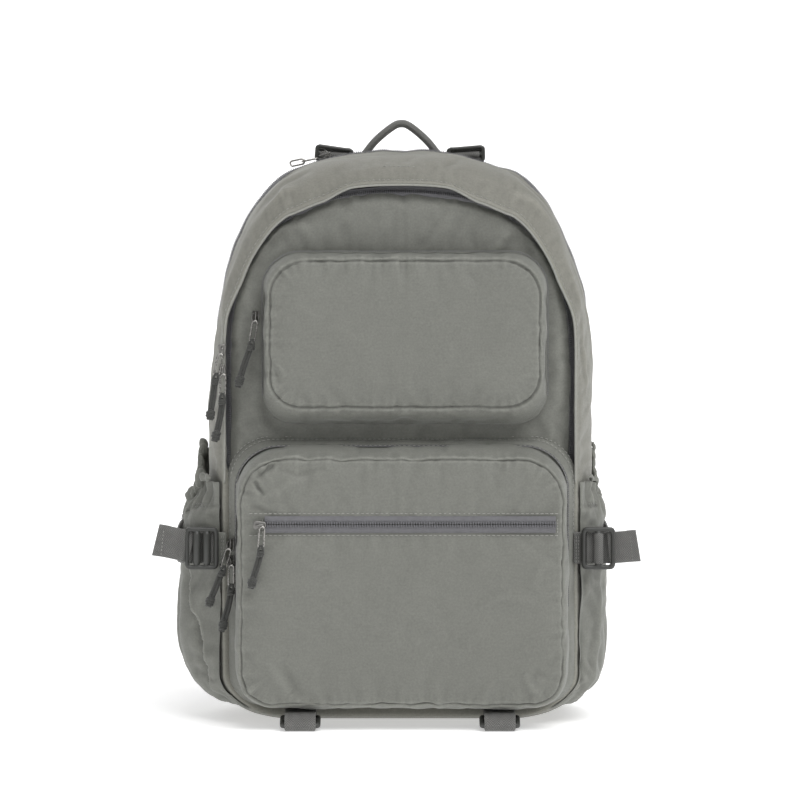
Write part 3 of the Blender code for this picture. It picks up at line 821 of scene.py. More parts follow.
# ---------------------------------------------------------------- sections, stitches, straps
def round_section(radius, sides=8, flat=1.0):
    turn = turns(sides)
    return np.stack([radius * np.cos(turn), radius * flat * np.sin(turn)], 1)


def strap_section(width, thickness, across=10):
    """A flat strap's section with rounded edges, evenly divided across its width."""
    half = 0.5 * width - 0.5 * thickness
    top = np.stack([np.linspace(half, -half, across), np.full(across, 0.5 * thickness)], 1)
    left = [(-half - 0.35 * thickness, 0.35 * thickness), (-half - 0.5 * thickness, 0.0),
            (-half - 0.35 * thickness, -0.35 * thickness)]
    low = -top
    right = [(-x, -z) for x, z in left]
    return np.vstack([top, left, low, right])


def round_ends(path, radius, steps=3):
    """Extra points and scales that round off both ends of a swept cord."""
    path = np.asarray(path, float)
    first, last = toward(path[1], path[0]), toward(path[-2], path[-1])
    turn = np.radians(np.linspace(90.0, 0.0, steps + 1)[:-1])
    before = [path[0] + first * radius * math.sin(a) for a in turn]
    after = [path[-1] + last * radius * math.sin(a) for a in turn[::-1]]
    small = [max(math.cos(a), 0.12) for a in turn]
    scale = np.concatenate([small, np.ones(len(path)), small[::-1]])
    return np.vstack([before, path, after]), scale


def directions(given, count):
    """One direction for each of a path's points, from a single one or from a row of them."""
    given = np.asarray(given, float)
    return np.broadcast_to(given, (count, 3)) if given.ndim == 1 else evenly(given, count)


def stitches(shape, path, outward, stitch=0.0024, gap=0.0014, radius=0.00027, lift=0.0002):
    """A row of stitches along a path on the cloth; each dips into the cloth at both ends."""
    path = evenly(path, max(int(lengths(np.asarray(path, float))[-1] / 0.0006), 4))
    along = lengths(path)
    outward = directions(outward, len(path))
    count = int(along[-1] // (stitch + gap))
    for index in range(count):
        start = index * (stitch + gap)
        places = np.linspace(start, start + stitch, 5)
        line, normal = sampled(places, along, path), sampled(places, along, outward)
        rise = np.array([-0.8, 0.6, 1.0, 0.6, -0.8])[:, None] * radius + lift
        shape.sweep(line + normal * rise, round_section(radius, 5), scale=(0.5, 1.0, 1.0, 1.0, 0.5))


def sewn(name, material, body, slot, rows, **how):
    """A piece made of rows of stitches, each a path and its direction out of the cloth."""
    shape = Shape()
    for path, outward in rows:
        stitches(shape, path, outward, **how)
    shape.finish(name, material, body, slot)


def swept(name, material, body, slot, nodes, path, section, **how):
    """A piece made of one section swept along a path."""
    shape = Shape()
    shape.sweep(path, section, **how)
    return shape.finish(name, material, body, slot, *nodes)


def strap(name, path, across, body, node):
    section = strap_section(WEBBING, WEBBING_THICKNESS)
    swept(name, WEB, body, "webbing", [node], path, section, across=across)


def hemmed(shape, path, hem, across):
    """Webbing along a path, with its last points folded back over it."""
    section = strap_section(WEBBING, WEBBING_THICKNESS)
    shape.sweep(path, section, across=across)
    shape.sweep(path[-hem:] + (0.0, HEM_LIFT, 0.0), section, across=across)


def plate(name, outlines, thickness, rounding, material, matrix):
    """A flat plate with rounded edges; the outlines after the first are holes. It faces its own Z."""
    curve = bpy.data.curves.new(name, "CURVE")
    curve.dimensions = "2D"
    curve.fill_mode = "BOTH"
    curve.extrude = 0.5 * thickness - rounding
    curve.bevel_depth = rounding
    curve.bevel_resolution = 2
    curve.offset = -rounding
    for outline in outlines:
        spline = curve.splines.new("POLY")
        spline.points.add(len(outline) - 1)
        for index, (x, y) in enumerate(outline):
            spline.points[index].co = (x, y, 0.0, 1.0)
        spline.use_cyclic_u = True
    guide = placed(name, curve)
    mesh = bpy.data.meshes.new_from_object(guide.evaluated_get(bpy.context.evaluated_depsgraph_get()))
    bpy.data.objects.remove(guide, do_unlink=True)
    mesh.name = name
    mesh.transform(matrix)
    mesh.materials.clear()
    mesh.materials.append(material)
    mesh.shade_smooth()
    mesh.set_sharp_from_angle(angle=math.radians(50))
    return placed(name, mesh)


def joined(name, pieces):
    """One piece from several, each keeping its faces' materials."""
    with bpy.context.temp_override(active_object=pieces[0], selected_editable_objects=pieces):
        bpy.ops.object.join()
    pieces[0].name = name
    return pieces[0]


# ---------------------------------------------------------------- floor and light
WHITE = (1.0, 1.0, 1.0, 1.0)
FLOOR_REACH = 400.0
FLOOR_GLOW = 0.42
SKY_STRENGTH = 0.34
# each lamp: the direction towards it, its spread in degrees and its strength
LAMPS = (("key_light", (0.50, -0.80, 1.42), 50.0, 2.27),
         ("fill_light", (-1.0, -1.0, 0.6), 60.0, 0.02),
         ("back_light", (-0.30, 1.00, 0.80), 50.0, 0.70))


def studio():
    floor = bpy.data.meshes.new("studio_floor")
    corners = [(FLOOR_REACH * x, FLOOR_REACH * y, 0.0) for x, y in ((-1, -1), (1, -1), (1, 1), (-1, 1))]
    floor.from_pydata(corners, [], [(0, 1, 2, 3)])
    n = Nodes("studio_floor", (0.93, 0.93, 0.93), 0.9)
    n.set(Specular_IOR_Level=0.1, Emission_Color=WHITE, Emission_Strength=FLOOR_GLOW)
    floor.materials.append(n.material)
    placed("studio_floor", floor)
    world = bpy.data.worlds.new("studio_world")
    world.use_nodes = True
    background = world.node_tree.nodes["Background"]
    background.inputs["Color"].default_value = WHITE
    background.inputs["Strength"].default_value = SKY_STRENGTH
    bpy.context.scene.world = world
    bpy.context.scene.view_settings.view_transform = "Standard"
    for name, source, spread, strength in LAMPS:
        data = bpy.data.lights.new(name, "SUN")
        data.angle = math.radians(spread)
        data.energy = strength
        placed(name, data).rotation_euler = (-Vector(source)).to_track_quat("-Z", "Y").to_euler()


studio()

# ---------------------------------------------------------------- zip pulls
# each pull: slider centre, top and foot of its wire loop, then the cord's route from there
PULLS = {
    "flap_upper": ((-0.1402, -0.0686, 0.2976), (-0.1412, -0.0722, 0.2950), (-0.1448, -0.0735, 0.2780),
                   ((-0.1462, -0.0740, 0.2700), (-0.1475, -0.0742, 0.2600),
                    (-0.1490, -0.0742, 0.2510), (-0.1500, -0.0742, 0.2430))),
    "flap_lower": ((-0.1402, -0.0686, 0.2815), (-0.1394, -0.0722, 0.2790), (-0.1400, -0.0735, 0.2620),
                   ((-0.1404, -0.0740, 0.2540), (-0.1418, -0.0742, 0.2450),
                    (-0.1440, -0.0742, 0.2350), (-0.1465, -0.0742, 0.2260))),
    "upper_pocket": ((-0.1134, -0.0720, 0.3240), (-0.1140, -0.0760, 0.3215), (-0.1166, -0.0770, 0.3050),
                     ((-0.1190, -0.0772, 0.2970), (-0.1222, -0.0774, 0.2880),
                      (-0.1250, -0.0774, 0.2790), (-0.1278, -0.0774, 0.2690))),
    "lower_upper": ((-0.1334, -0.0760, 0.1445), (-0.1350, -0.0800, 0.1415), (-0.1392, -0.0810, 0.1265),
                    ((-0.1420, -0.0814, 0.1200), (-0.1450, -0.0816, 0.1120),
                     (-0.1484, -0.0816, 0.1040), (-0.1515, -0.0816, 0.0960))),
    "lower_lower": ((-0.1334, -0.0760, 0.1310), (-0.1330, -0.0800, 0.1285), (-0.1332, -0.0812, 0.1120),
                    ((-0.1340, -0.0814, 0.1040), (-0.1358, -0.0816, 0.0950),
                     (-0.1384, -0.0816, 0.0860), (-0.1410, -0.0816, 0.0760))),
    "front_zip": ((-0.1098, -0.1152, 0.1636), (-0.1078, -0.1188, 0.1625), (-0.1088, -0.1198, 0.1460),
                  ((-0.1098, -0.1198, 0.1390), (-0.1120, -0.1196, 0.1310),
                   (-0.1146, -0.1194, 0.1230), (-0.1170, -0.1194, 0.1140))),
}
WIRE_RADIUS = 0.00075
WIRE_HALF_WIDTH = 0.0021
CORD_GAP = 0.0008
CORD_WIDTH = 0.0052
CORD_THICKNESS = 0.0026


def wire_path(top, foot, across):
    """A closed loop between two points with round ends."""
    along = toward(top, foot)
    side = np.array(across, float) * WIRE_HALF_WIDTH
    path = []
    for end, start in ((foot - along * WIRE_HALF_WIDTH, 0), (top + along * WIRE_HALF_WIDTH, 180)):
        for step in range(13):
            turn = math.radians(start + 180.0 * step / 12)
            path.append(end + side * math.cos(turn) + along * (WIRE_HALF_WIDTH * math.sin(turn)))
    return np.array(path)


def cord_section():
    """Two strands side by side, as one outline with a waist."""
    turn = turns(24)
    strand = 0.25 * CORD_WIDTH
    away = np.abs(np.cos(turn))
    x = np.sign(np.cos(turn)) * strand * (1.0 - np.cos(np.pi * away))
    z = 0.5 * CORD_THICKNESS * np.sign(np.sin(turn)) * np.maximum(np.sin(np.pi * away), 0.22 * (1.0 - away))
    return np.stack([x, z], 1)


def wound(shape, centre, axis, radius, strand, turns, rise):
    """A cord wound round an axis: the body of a knot or hitch."""
    axis = toward((0.0, 0.0, 0.0), axis)
    side = np.cross(axis, (0.31, 0.87, 0.24))
    side /= np.linalg.norm(side)
    up = np.cross(axis, side)
    turn = np.linspace(0.0, 2.0 * math.pi * turns, int(16 * turns))
    path = (np.array(centre) + radius * (np.cos(turn)[:, None] * side + 0.9 * np.sin(turn)[:, None] * up)
            + axis * (rise * (turn / turn[-1] - 0.5))[:, None])
    path, scale = round_ends(path, strand)
    shape.sweep(path, round_section(strand), scale=scale)


def pull(name, top, foot, route):
    """A wire loop with a doubled cord looped through it, hitched and knotted at its end."""
    body = "pull_" + name
    shape = Shape()
    shape.sweep(wire_path(top, foot, ALONG_X), round_section(WIRE_RADIUS), cyclic=True)
    shape.finish("wire_loop_" + name, WIRE, body, "pull_wire", "pull_wire_" + name)
    hang = toward(top, foot)
    start = np.array(foot) + hang * (WIRE_RADIUS + CORD_GAP)
    path = smooth_path([start, *route], 25)
    last = toward(path[-2], path[-1])
    shape = Shape()
    wound(shape, path[-4], last, 0.0024, 0.0015, 2.3, 0.0050)
    wound(shape, path[-5], last + (0.5, -0.5, 0.3), 0.0021, 0.0015, 1.3, 0.0020)
    knot = shape.finish("knot_" + name, CORD, body, "pull_cord")
    shape = Shape()
    wound(shape, start + hang * 0.0034, hang, 0.0020, 0.0013, 1.6, 0.0034)
    for sign in (-1.0, 1.0):
        low = start + hang * 0.003 + (sign * 0.0014, -0.0008, 0.0)
        middle = start + (sign * 0.0018, -0.0014, 0.0002)
        high = np.array(foot) - hang * 0.0016 + (sign * 0.0006, -0.0018, 0.0)
        ended, scale = round_ends(smooth_path([low, middle, high], 9), 0.0010)
        shape.sweep(ended, round_section(0.0011), scale=scale)
    hitch = shape.finish("hitch_" + name, CORD, body, "pull_cord")
    cord = swept("cord_" + name, CORD, body, "pull_cord", ["pull_cord_" + name], path, cord_section(),
                 across=ALONG_X)
    float(lengths(path)[-1])


for pull_name, (_, pull_top, pull_foot, pull_route) in PULLS.items():
    pull(pull_name, pull_top, pull_foot, pull_route)

# ---------------------------------------------------------------- soft body
SHELL_POINTS = 230            # points along half of the body's outline


def on_body(y, grow=0.0, count=SHELL_POINTS):
    return at_depth(mirrored(body_half(y, grow), count), y)


LIP_LEAN = 0.0062             # how far the hood's edge leans over the zip
SLIM_HEIGHTS = (0.235, 0.254, 0.270, 0.286, 0.302, 0.318, 0.334,
                0.350, 0.366, 0.382, 0.398, 0.414, 0.430, 0.446)
SLIM_LEFT = (0.0, 0.0010, 0.0030, 0.0056, 0.0062, 0.0068, 0.0072,
             0.0078, 0.0086, 0.0094, 0.0080, 0.0050, 0.0018, 0.0)
SLIM_RIGHT = (0.0, 0.0, 0.0004, 0.0010, 0.0014, 0.0018, 0.0028,
              0.0044, 0.0054, 0.0062, 0.0050, 0.0020, 0.0, 0.0)
CROWN_REACH = (0.0, 0.045, 0.062, 0.080, 0.093, 0.106, 0.120, 0.135)
CROWN_RISE = (-0.0050, -0.0050, -0.0040, -0.0027, 0.0022, 0.0034, 0.0020, 0.0)


def crowned(points):
    """The top of the bag as it sags: lower in the middle, fuller on its shoulders."""
    points = np.array(points, float)
    rise = np.interp(np.abs(points[..., 0]), CROWN_REACH, CROWN_RISE)
    rise *= 1.0 - 0.62 * (rise < 0.0) * (1.0 - smoothstep((points[..., 1] + 0.066) / 0.034))
    points[..., 2] += rise * smoothstep((points[..., 2] - 0.370) / 0.050)
    return points


def slimmed(points):
    """The hood's shoulders drawn in behind its front edge, and the base's corners tucked up."""
    points = np.array(points, float)
    x, y, z = points[:, 0], points[:, 1], points[:, 2]
    depth = smoothstep((y + 0.066) / 0.030) * (1.0 - 0.6 * smoothstep((y - 0.045) / 0.030))
    draw = np.where(x < 0.0, np.interp(z, SLIM_HEIGHTS, SLIM_LEFT), -np.interp(z, SLIM_HEIGHTS, SLIM_RIGHT))
    points[:, 0] = x + draw * depth * smoothstep((np.abs(x) - 0.045) / 0.06)
    tuck = smoothstep((np.abs(x) - 0.090) / 0.050) * (1.0 - smoothstep(z / 0.050))
    points[:, 2] = z + 0.0080 * tuck
    return crowned(points)


def leaned(points, share):
    """The hood's front edge drawn down over the zip on both slopes of the arch."""
    x, z = points[:, 0], points[:, 2]
    slope = smoothstep((np.abs(x) - 0.036) / 0.030) * smoothstep((z - 0.318) / 0.040)
    inward = unit(np.stack([-x, np.zeros(len(points)), 0.300 - z], 1))
    return points + inward * (LIP_LEAN * slope * share)[:, None]


def folded(points, folds):
    """The sum of several folds, each (path, width, height)."""
    return sum((ridge(points, path, width, height) for path, width, height in folds),
               np.zeros(len(points)))


HOOD_FOLDS = (
    (((-0.128, -0.060, 0.392), (-0.108, -0.052, 0.416), (-0.078, -0.050, 0.430)), 0.0035, 0.0022),
    (((-0.122, -0.052, 0.410), (-0.096, -0.040, 0.430), (-0.070, -0.034, 0.440)), 0.0045, -0.0020),
    (((-0.140, -0.050, 0.362), (-0.130, -0.046, 0.388), (-0.116, -0.044, 0.408)), 0.0040, 0.0018),
    (((-0.146, -0.040, 0.330), (-0.143, -0.036, 0.352), (-0.136, -0.032, 0.374)), 0.0045, -0.0016),
    (((-0.050, -0.055, 0.4330), (-0.020, -0.050, 0.4385), (0.020, -0.050, 0.4390)), 0.0060, 0.0010),
    (((0.086, -0.056, 0.424), (0.104, -0.050, 0.414), (0.121, -0.046, 0.398)), 0.0035, 0.0020),
    (((0.094, -0.036, 0.432), (0.116, -0.030, 0.414), (0.130, -0.028, 0.394)), 0.0050, -0.0020),
    (((0.130, -0.056, 0.380), (0.138, -0.052, 0.356), (0.142, -0.050, 0.328)), 0.0032, 0.0020),
    (((0.137, -0.036, 0.384), (0.144, -0.030, 0.350), (0.148, -0.026, 0.310)), 0.0050, -0.0022),
    (((0.143, -0.050, 0.320), (0.146, -0.048, 0.290), (0.146, -0.046, 0.258)), 0.0036, 0.0022),
    (((0.149, -0.020, 0.330), (0.152, -0.012, 0.290), (0.151, -0.006, 0.240)), 0.0070, 0.0020),
    (((-0.149, -0.020, 0.330), (-0.152, -0.016, 0.290), (-0.151, -0.010, 0.240)), 0.0070, 0.0022),
    (((-0.143, -0.052, 0.318), (-0.145, -0.048, 0.286), (-0.145, -0.046, 0.250)), 0.0036, -0.0016),
    (((-0.10, 0.010, 0.4270), (-0.050, 0.016, 0.4500), (0.010, 0.012, 0.4540)), 0.0080, -0.0014),
    (((0.02, -0.010, 0.4540), (0.060, -0.014, 0.4480), (0.100, -0.008, 0.4280)), 0.0070, 0.0016),
)


def gusset_shell():
    """The cloth band that makes the base, sides and hood, rolled in at its front edge."""
    rows = []
    for rolled, sewn in (((-0.0585, -0.0046), (-0.0612, -0.0130)), ((-0.0625, -0.0036), (-0.0626, -0.0085)),
                         ((-0.0652, -0.0016), (-0.0644, -0.0036))):
        upper, lower = on_body(*rolled), on_body(*sewn)
        share = smoothstep((upper[:, 2:] - 0.186) / 0.022)
        rows.append(lower + (upper - lower) * share)
    depths = np.linspace(BODY_FRONT - 0.0006, BODY_BACK, 36)
    rows += [on_body(y, -0.0016 * math.sin(math.pi * (y - depths[0]) / (depths[-1] - depths[0])))
             for y in depths]
    shape = Shape()
    grid = np.stack([slimmed(row) for row in rows])
    forward = [1.0, 1.0, 1.0] + [float(1.0 - smoothstep((y - depths[0]) / 0.016)) for y in depths]
    grid = np.stack([leaned(row, share) for row, share in zip(grid, forward)])
    shape.grid(grid, closed=True, flip=True)
    # the shell's nylon is painted brighter to stand in for the light on the hood's top
    piece = shape.build("gusset_shell", BRIGHTENED_HOOD_NYLON)
    held = np.zeros(grid.shape[:2])
    held[:4] = 1.0
    held[4] = 0.6
    held[-2:] = 1.0
    points = grid.reshape(-1, 3)
    on_ground = (points[:, 2] < 0.012).reshape(held.shape)
    held = np.where(on_ground, 1.0, held)
    settle(piece, held.ravel(), pressure=2.0, slack=0.016, cap=0.0045)
    refined(piece)
    points = points_of(piece.data)
    inside = smoothstep((points[:, 1] - BODY_FRONT) / 0.012)
    above = smoothstep((points[:, 2] - 0.004) / 0.03)
    push(piece, folded(points, HOOD_FOLDS), waves(points, 0.045, 0.0022, 1.0) * inside * above,
         waves(points, 0.016, 0.0007, 2.0, (1.0, 0.6, 1.0)) * inside * above)
    points = points_of(piece.data)
    edge = leaned(crowned(on_body(-0.0612, 0.0)), 1.0)
    rear = on_body(BODY_BACK - 0.004, 0.0)
    push(piece, puckers(points, ring_closed(edge), 0.0005, 0.0005, 0.004, 0.009, 3.0, 0.0008),
         puckers(points, ring_closed(rear), 0.0008, 0.0012, 0.008, 0.011, 4.0))
    keep_above(piece, 0.0006)
    finish_piece(piece, "pack", "nylon_fabric", "main_gusset")
    shell = surface_of(piece)

    shape = Shape()
    depths = np.linspace(-0.0575, 0.0740, 20)
    lining = np.stack([slimmed(on_body(y, -0.0085, 120)) for y in depths])
    shape.grid(lining, closed=True)
    piece = shape.build("body_lining", LINING)
    points = points_of(piece.data)
    push(piece, waves(points, 0.03, 0.0016, 7.0) + 0.0008)
    finish_piece(piece, "pack", "lining")
    return shell


def body_trims(shell):
    """The turned and stitched front edge, and the piping round the back."""
    edge = leaned(crowned(on_body(-0.0660, -0.0010)), 1.0)
    edge = edge[edge[:, 2] > 0.192]
    # the binding's paler nylon is a painted highlight
    swept("front_edge_binding", HIGHLIT_PIPED_NYLON, "pack", "nylon_fabric", [], edge, round_section(0.0009))
    path = slimmed(on_body(BODY_BACK + 0.0006, 0.0012))
    path[:, 2] = np.maximum(path[:, 2], 0.0024)
    swept("rear_piping", HIGHLIT_PIPED_NYLON, "pack", "nylon_fabric", [], path, round_section(0.0021, 10),
          cyclic=True)
    half = body_half(-0.0618, 0.0004)
    half = half[half[:, 1] > 0.20]
    path = evenly(leaned(crowned(at_depth(both_halves(half), -0.0640)), 0.9), 300)
    sewn("hood_edge_stitches", THREAD, "pack", "nylon_fabric", [laid_on(shell, path)])
    top = smooth_path([(-0.0135, -0.0500, 0.4400), (0.0, -0.0500, 0.4404), (0.0135, -0.0500, 0.4400)], 12)
    sewn("hood_tack_stitches", THREAD, "pack", "nylon_fabric", [laid_on(shell, top)])


# ---------------------------------------------------------------- front panel and its zip
def panel_half():
    """Right half of the front panel's outline, from its base's middle over the arch."""
    half = arch_half(FLAP_HALF_WIDTH, FLAP_TOP, PANEL_BOTTOM, 0.031)
    wider = PANEL_HALF_WIDTH / FLAP_HALF_WIDTH
    share = smoothstep((half[:, 1] - 0.20) / 0.06)
    return half * np.stack([wider + (1.0 - wider) * share, np.ones(len(half))], 1)


PANEL_FOLDS = (
    (((-0.080, -0.062, 0.402), (-0.070, -0.062, 0.385), (-0.066, -0.062, 0.372)), 0.0050, 0.0014),
    (((0.030, -0.062, 0.400), (0.022, -0.062, 0.386), (0.014, -0.062, 0.378)), 0.0040, -0.0012),
    (((0.086, -0.062, 0.392), (0.074, -0.062, 0.376), (0.066, -0.062, 0.366)), 0.0050, 0.0020),
    (((0.104, -0.062, 0.378), (0.096, -0.062, 0.362), (0.094, -0.062, 0.352)), 0.0040, -0.0016),
    (((-0.122, -0.062, 0.330), (-0.118, -0.062, 0.290), (-0.120, -0.062, 0.250)), 0.0060, -0.0016),
    (((-0.112, -0.062, 0.268), (-0.106, -0.062, 0.244), (-0.094, -0.062, 0.232)), 0.0045, -0.0016),
    (((0.124, -0.062, 0.330), (0.126, -0.062, 0.290), (0.124, -0.062, 0.248)), 0.0060, 0.0014),
)


def front_panel():
    """One sheet from the base to the top of the arch; the fold line of the flap crosses it."""
    half = panel_half()
    flat = patch(arch_sides(half, 66, 100))
    u, v = grid_shares(66, 100)
    edge = np.minimum(2.0 * FLAP_HALF_WIDTH * np.minimum(u, 1.0 - u), 0.40 * (1.0 - v))
    upper = smoothstep((flat[..., 1] - 0.150) / 0.05)
    pulled = 0.0048 * (1.0 - smoothstep(edge / 0.010)) * upper
    bulge = 0.0030 * np.sqrt(np.sin(np.pi * u) * np.sin(np.pi * v))
    grid = np.stack([flat[..., 0], PANEL_Y + pulled - bulge, flat[..., 1]], -1)
    shape = Shape()
    shape.grid(grid)
    piece = shape.build("front_panel_cloth", NYLON)
    held = held_edges(grid)
    points = grid.reshape(-1, 3)
    for low_x, high_x, low_z, high_z in (UPPER_POCKET, LOWER_POCKET):
        covered = ((points[:, 0] > low_x + 0.004) & (points[:, 0] < high_x - 0.004)
                   & (points[:, 2] > low_z + 0.003) & (points[:, 2] < high_z - 0.003))
        held = np.where(covered.reshape(held.shape), 1.0, held)
    settle(piece, held.ravel(), pressure=2.0, slack=0.012, cap=0.0035)
    refined(piece)
    points = points_of(piece.data)
    rim = at_depth(both_halves(half[ARCH_FROM:]), PANEL_Y + 0.0070)
    push(piece, folded(points, PANEL_FOLDS), waves(points, 0.05, 0.0016, 11.0),
         waves(points, 0.014, 0.0005, 12.0),
         puckers(points, rim, 0.0002, 0.0015, 0.0052, 0.0070, 13.0))
    finish_piece(piece, ("pack", "flap", (0.0, HINGE_Y, 0.2225), (0.0, HINGE_Y, 0.2385)), "nylon_fabric",
                 "front_panel", "front_flap")
    across, up = half[:, 0], half[:, 1]
    area = 2.0 * abs(float(np.sum(0.5 * (across[1:] + across[:-1]) * np.diff(up))))


def zip_teeth(shape, path, inward, pitch=0.0015, size=(0.0023, 0.0008, 0.0011)):
    """A row of coil teeth: small rounded links set across the path."""
    path = evenly(path, max(int(lengths(path)[-1] / pitch), 3))
    inward = directions(inward, len(path))
    ahead = unit(np.gradient(path, axis=0))
    inward = unit(inward - ahead * (inward * ahead).sum(1)[:, None])
    up = np.cross(ahead, inward)
    turn = np.radians(np.arange(0, 360, 60) + 30.0)
    for place, out, on, rise in zip(path, inward, ahead, up):
        ring = [on * (0.5 * size[1] * math.cos(a)) + rise * (0.5 * size[2] * math.sin(a)) for a in turn]
        ends = [[place + out * (side * 0.5 * size[0]) + offset for offset in ring] for side in (-1.0, 1.0)]
        start = shape.add(ends)
        low = start + np.arange(6)
        high = low + 6
        shape.faces.append(np.stack([low, np.roll(low, -1), np.roll(high, -1), high], 1)[:, ::-1])
        shape.faces.append(np.array([low]))
        shape.faces.append(np.array([high[::-1]]))
        shape.uvs.append(np.zeros((36, 2)))


def arch_path(half_width, top, y, start, count=300):
    """A path up one side, over the arch and down the other side, from one height."""
    half = arch_half(half_width, top, start - 0.02, 0.001)[ARCH_FROM:]
    half = np.vstack([[half[0][0], start], half])
    return evenly(at_depth(both_halves(half), y), count)


def flap_zip():
    """The main front zip: one tape and coil on the body, the other on the flap."""
    for name, body, node, start, rows, teeth in (
            ("zip_outer", "pack", "flap_zip_outer", 0.197,
             ((0.1394, 0.4300, -0.0505), (0.1386, 0.4280, -0.0530), (0.1370, 0.4256, -0.0548),
              (0.1356, 0.4236, -0.0552)), (0.1352, 0.4232, -0.0556)),
            ("zip_inner", "flap", "flap_zip_inner", HINGE_Z + 0.006,
             ((0.1342, 0.4216, -0.0555), (0.1330, 0.4200, -0.0556), (0.1316, 0.4184, -0.0550)),
             (0.1345, 0.4222, -0.0560))):
        shape = Shape()
        grid = np.stack([arch_path(*row, start) for row in rows])
        shape.grid(grid)
        cloth = shape.build(name + "_tape", TAPE)
        points = points_of(cloth.data)
        set_points(cloth.data, points + np.outer(waves(points, 0.02, 0.0005, 17.0), (0.0, 1.0, 0.0)))
        finish_piece(cloth, body, "zip_tape", node)
        shape = Shape()
        path = arch_path(*teeth, start)
        inward = np.array([0.0, 0.0, 0.29]) - path
        inward[:, 1] = 0.0
        zip_teeth(shape, path, inward)
        shape.finish(name + "_coil", TAPE, body, "zip_tape")


# ---------------------------------------------------------------- front pockets
def inset_bounds(bounds, sides, low, high):
    left, right, bottom, top = bounds
    return left + sides, right - sides, bottom + low, top - high


def pocket_sides(form, insets):
    bounds, corners, divisions = form
    return rounded_sides(inset_bounds(bounds, *insets), *corners, *divisions)


def pocket_ring(form, y, *insets):
    """A front pocket's outline at one depth."""
    return at_depth(ring_of(pocket_sides(form, insets)), y)


def pocket_shell(name, form, rims, crown, held_band=None):
    """A pocket: gusset rings from the back to the face seam, then the crowned face."""
    shape = Shape()
    rings = [pocket_ring(form, *rim) for rim in rims]
    flat = patch(pocket_sides(form, rims[-1][1:]))
    u, v = grid_shares(*form[2])
    rise = (1.0 - np.abs(2.0 * u - 1.0) ** 5) * (1.0 - np.abs(2.0 * v - 1.0) ** 5)
    face = np.stack([flat[..., 0], rims[-1][0] - crown * rise, flat[..., 1]], -1)
    border = border_of(shape.grid(face))
    outer = shape.skirt(rings, border)
    piece = shape.build(name, NYLON)
    held = np.zeros(shape.total)
    held[border] = 1.0
    held[outer[0]] = 1.0
    held[outer[1]] = 0.5
    if held_band:
        heights = points_of(piece.data)[:, 2]
        held[(heights > held_band[0]) & (heights < held_band[1])] = 1.0
    return piece, held, rings[-1]


# each ring of a pocket: its depth, and its insets at the sides, base and top
UPPER_RIMS = (
    (-0.0596, -0.0010, -0.0010, -0.0010), (-0.0640, 0.0, 0.0008, 0.0), (-0.0690, 0.0002, 0.0020, 0.0002),
    (-0.0740, 0.0006, 0.0038, 0.0006), (-0.0790, 0.0012, 0.0056, 0.0010), (-0.0835, 0.0018, 0.0074, 0.0016),
    (-0.0875, 0.0026, 0.0096, 0.0024), (-0.0904, 0.0040, 0.0124, 0.0038), (-0.0914, 0.0056, 0.0154, 0.0058))
LOWER_RIMS = (
    (-0.0596, -0.0092, -0.0010, -0.0070), (-0.0640, -0.0078, -0.0006, -0.0058),
    (-0.0690, -0.0052, -0.0002, -0.0036), (-0.0735, -0.0026, 0.0, -0.0016),
    (-0.0765, -0.0008, 0.0, -0.0002), (-0.0810, -0.0006, 0.0003, 0.0006),
    (-0.0870, -0.0004, 0.0008, 0.0014), (-0.0930, -0.0002, 0.0014, 0.0024),
    (-0.0985, 0.0, 0.0020, 0.0036), (-0.1030, 0.0004, 0.0028, 0.0048),
    (-0.1064, 0.0010, 0.0036, 0.0058), (-0.1082, 0.0022, 0.0044, 0.0068))
UPPER_FOLDS = (
    (((-0.100, -0.093, 0.292), (-0.094, -0.094, 0.286), (-0.089, -0.094, 0.278)), 0.0028, 0.0014),
    (((-0.103, -0.093, 0.288), (-0.098, -0.094, 0.282), (-0.095, -0.094, 0.272)), 0.0024, -0.0016),
    (((0.094, -0.093, 0.330), (0.084, -0.094, 0.318), (0.076, -0.094, 0.308)), 0.0050, 0.0010),
    (((-0.090, -0.093, 0.345), (-0.072, -0.094, 0.330), (-0.060, -0.094, 0.322)), 0.0060, 0.0010),
    (((0.088, -0.093, 0.262), (0.070, -0.094, 0.270), (0.060, -0.094, 0.284)), 0.0070, 0.0008),
)
LOWER_FOLDS = (
    (((-0.115, -0.108, 0.197), (-0.104, -0.110, 0.207), (-0.098, -0.110, 0.214)), 0.0018, -0.0042),
    (((-0.114, -0.109, 0.198), (-0.111, -0.110, 0.192), (-0.106, -0.110, 0.186)), 0.0016, -0.0036),
    (((-0.109, -0.109, 0.186), (-0.096, -0.110, 0.189), (-0.078, -0.110, 0.202)), 0.0040, 0.0016),
    (((-0.096, -0.109, 0.208), (-0.080, -0.110, 0.202), (-0.058, -0.110, 0.209)), 0.0030, -0.0014),
    (((-0.118, -0.109, 0.178), (-0.110, -0.110, 0.176), (-0.098, -0.110, 0.170)), 0.0030, -0.0014),
    (((-0.105, -0.109, 0.058), (-0.098, -0.110, 0.044), (-0.086, -0.110, 0.030)), 0.0045, 0.0022),
    (((-0.094, -0.109, 0.056), (-0.086, -0.110, 0.040), (-0.078, -0.110, 0.026)), 0.0045, -0.0022),
    (((0.118, -0.109, 0.042), (0.108, -0.110, 0.046), (0.102, -0.110, 0.038)), 0.0042, -0.0016),
    (((0.112, -0.109, 0.030), (0.104, -0.110, 0.034), (0.098, -0.110, 0.046)), 0.0040, 0.0020),
    (((0.062, -0.110, 0.096), (0.078, -0.111, 0.106), (0.108, -0.110, 0.104)), 0.0040, 0.0014),
    (((0.120, -0.109, 0.136), (0.110, -0.110, 0.128), (0.104, -0.110, 0.112)), 0.0040, 0.0014),
    (((-0.080, -0.110, 0.138), (-0.066, -0.111, 0.130), (-0.050, -0.111, 0.130)), 0.0045, 0.0010),
)


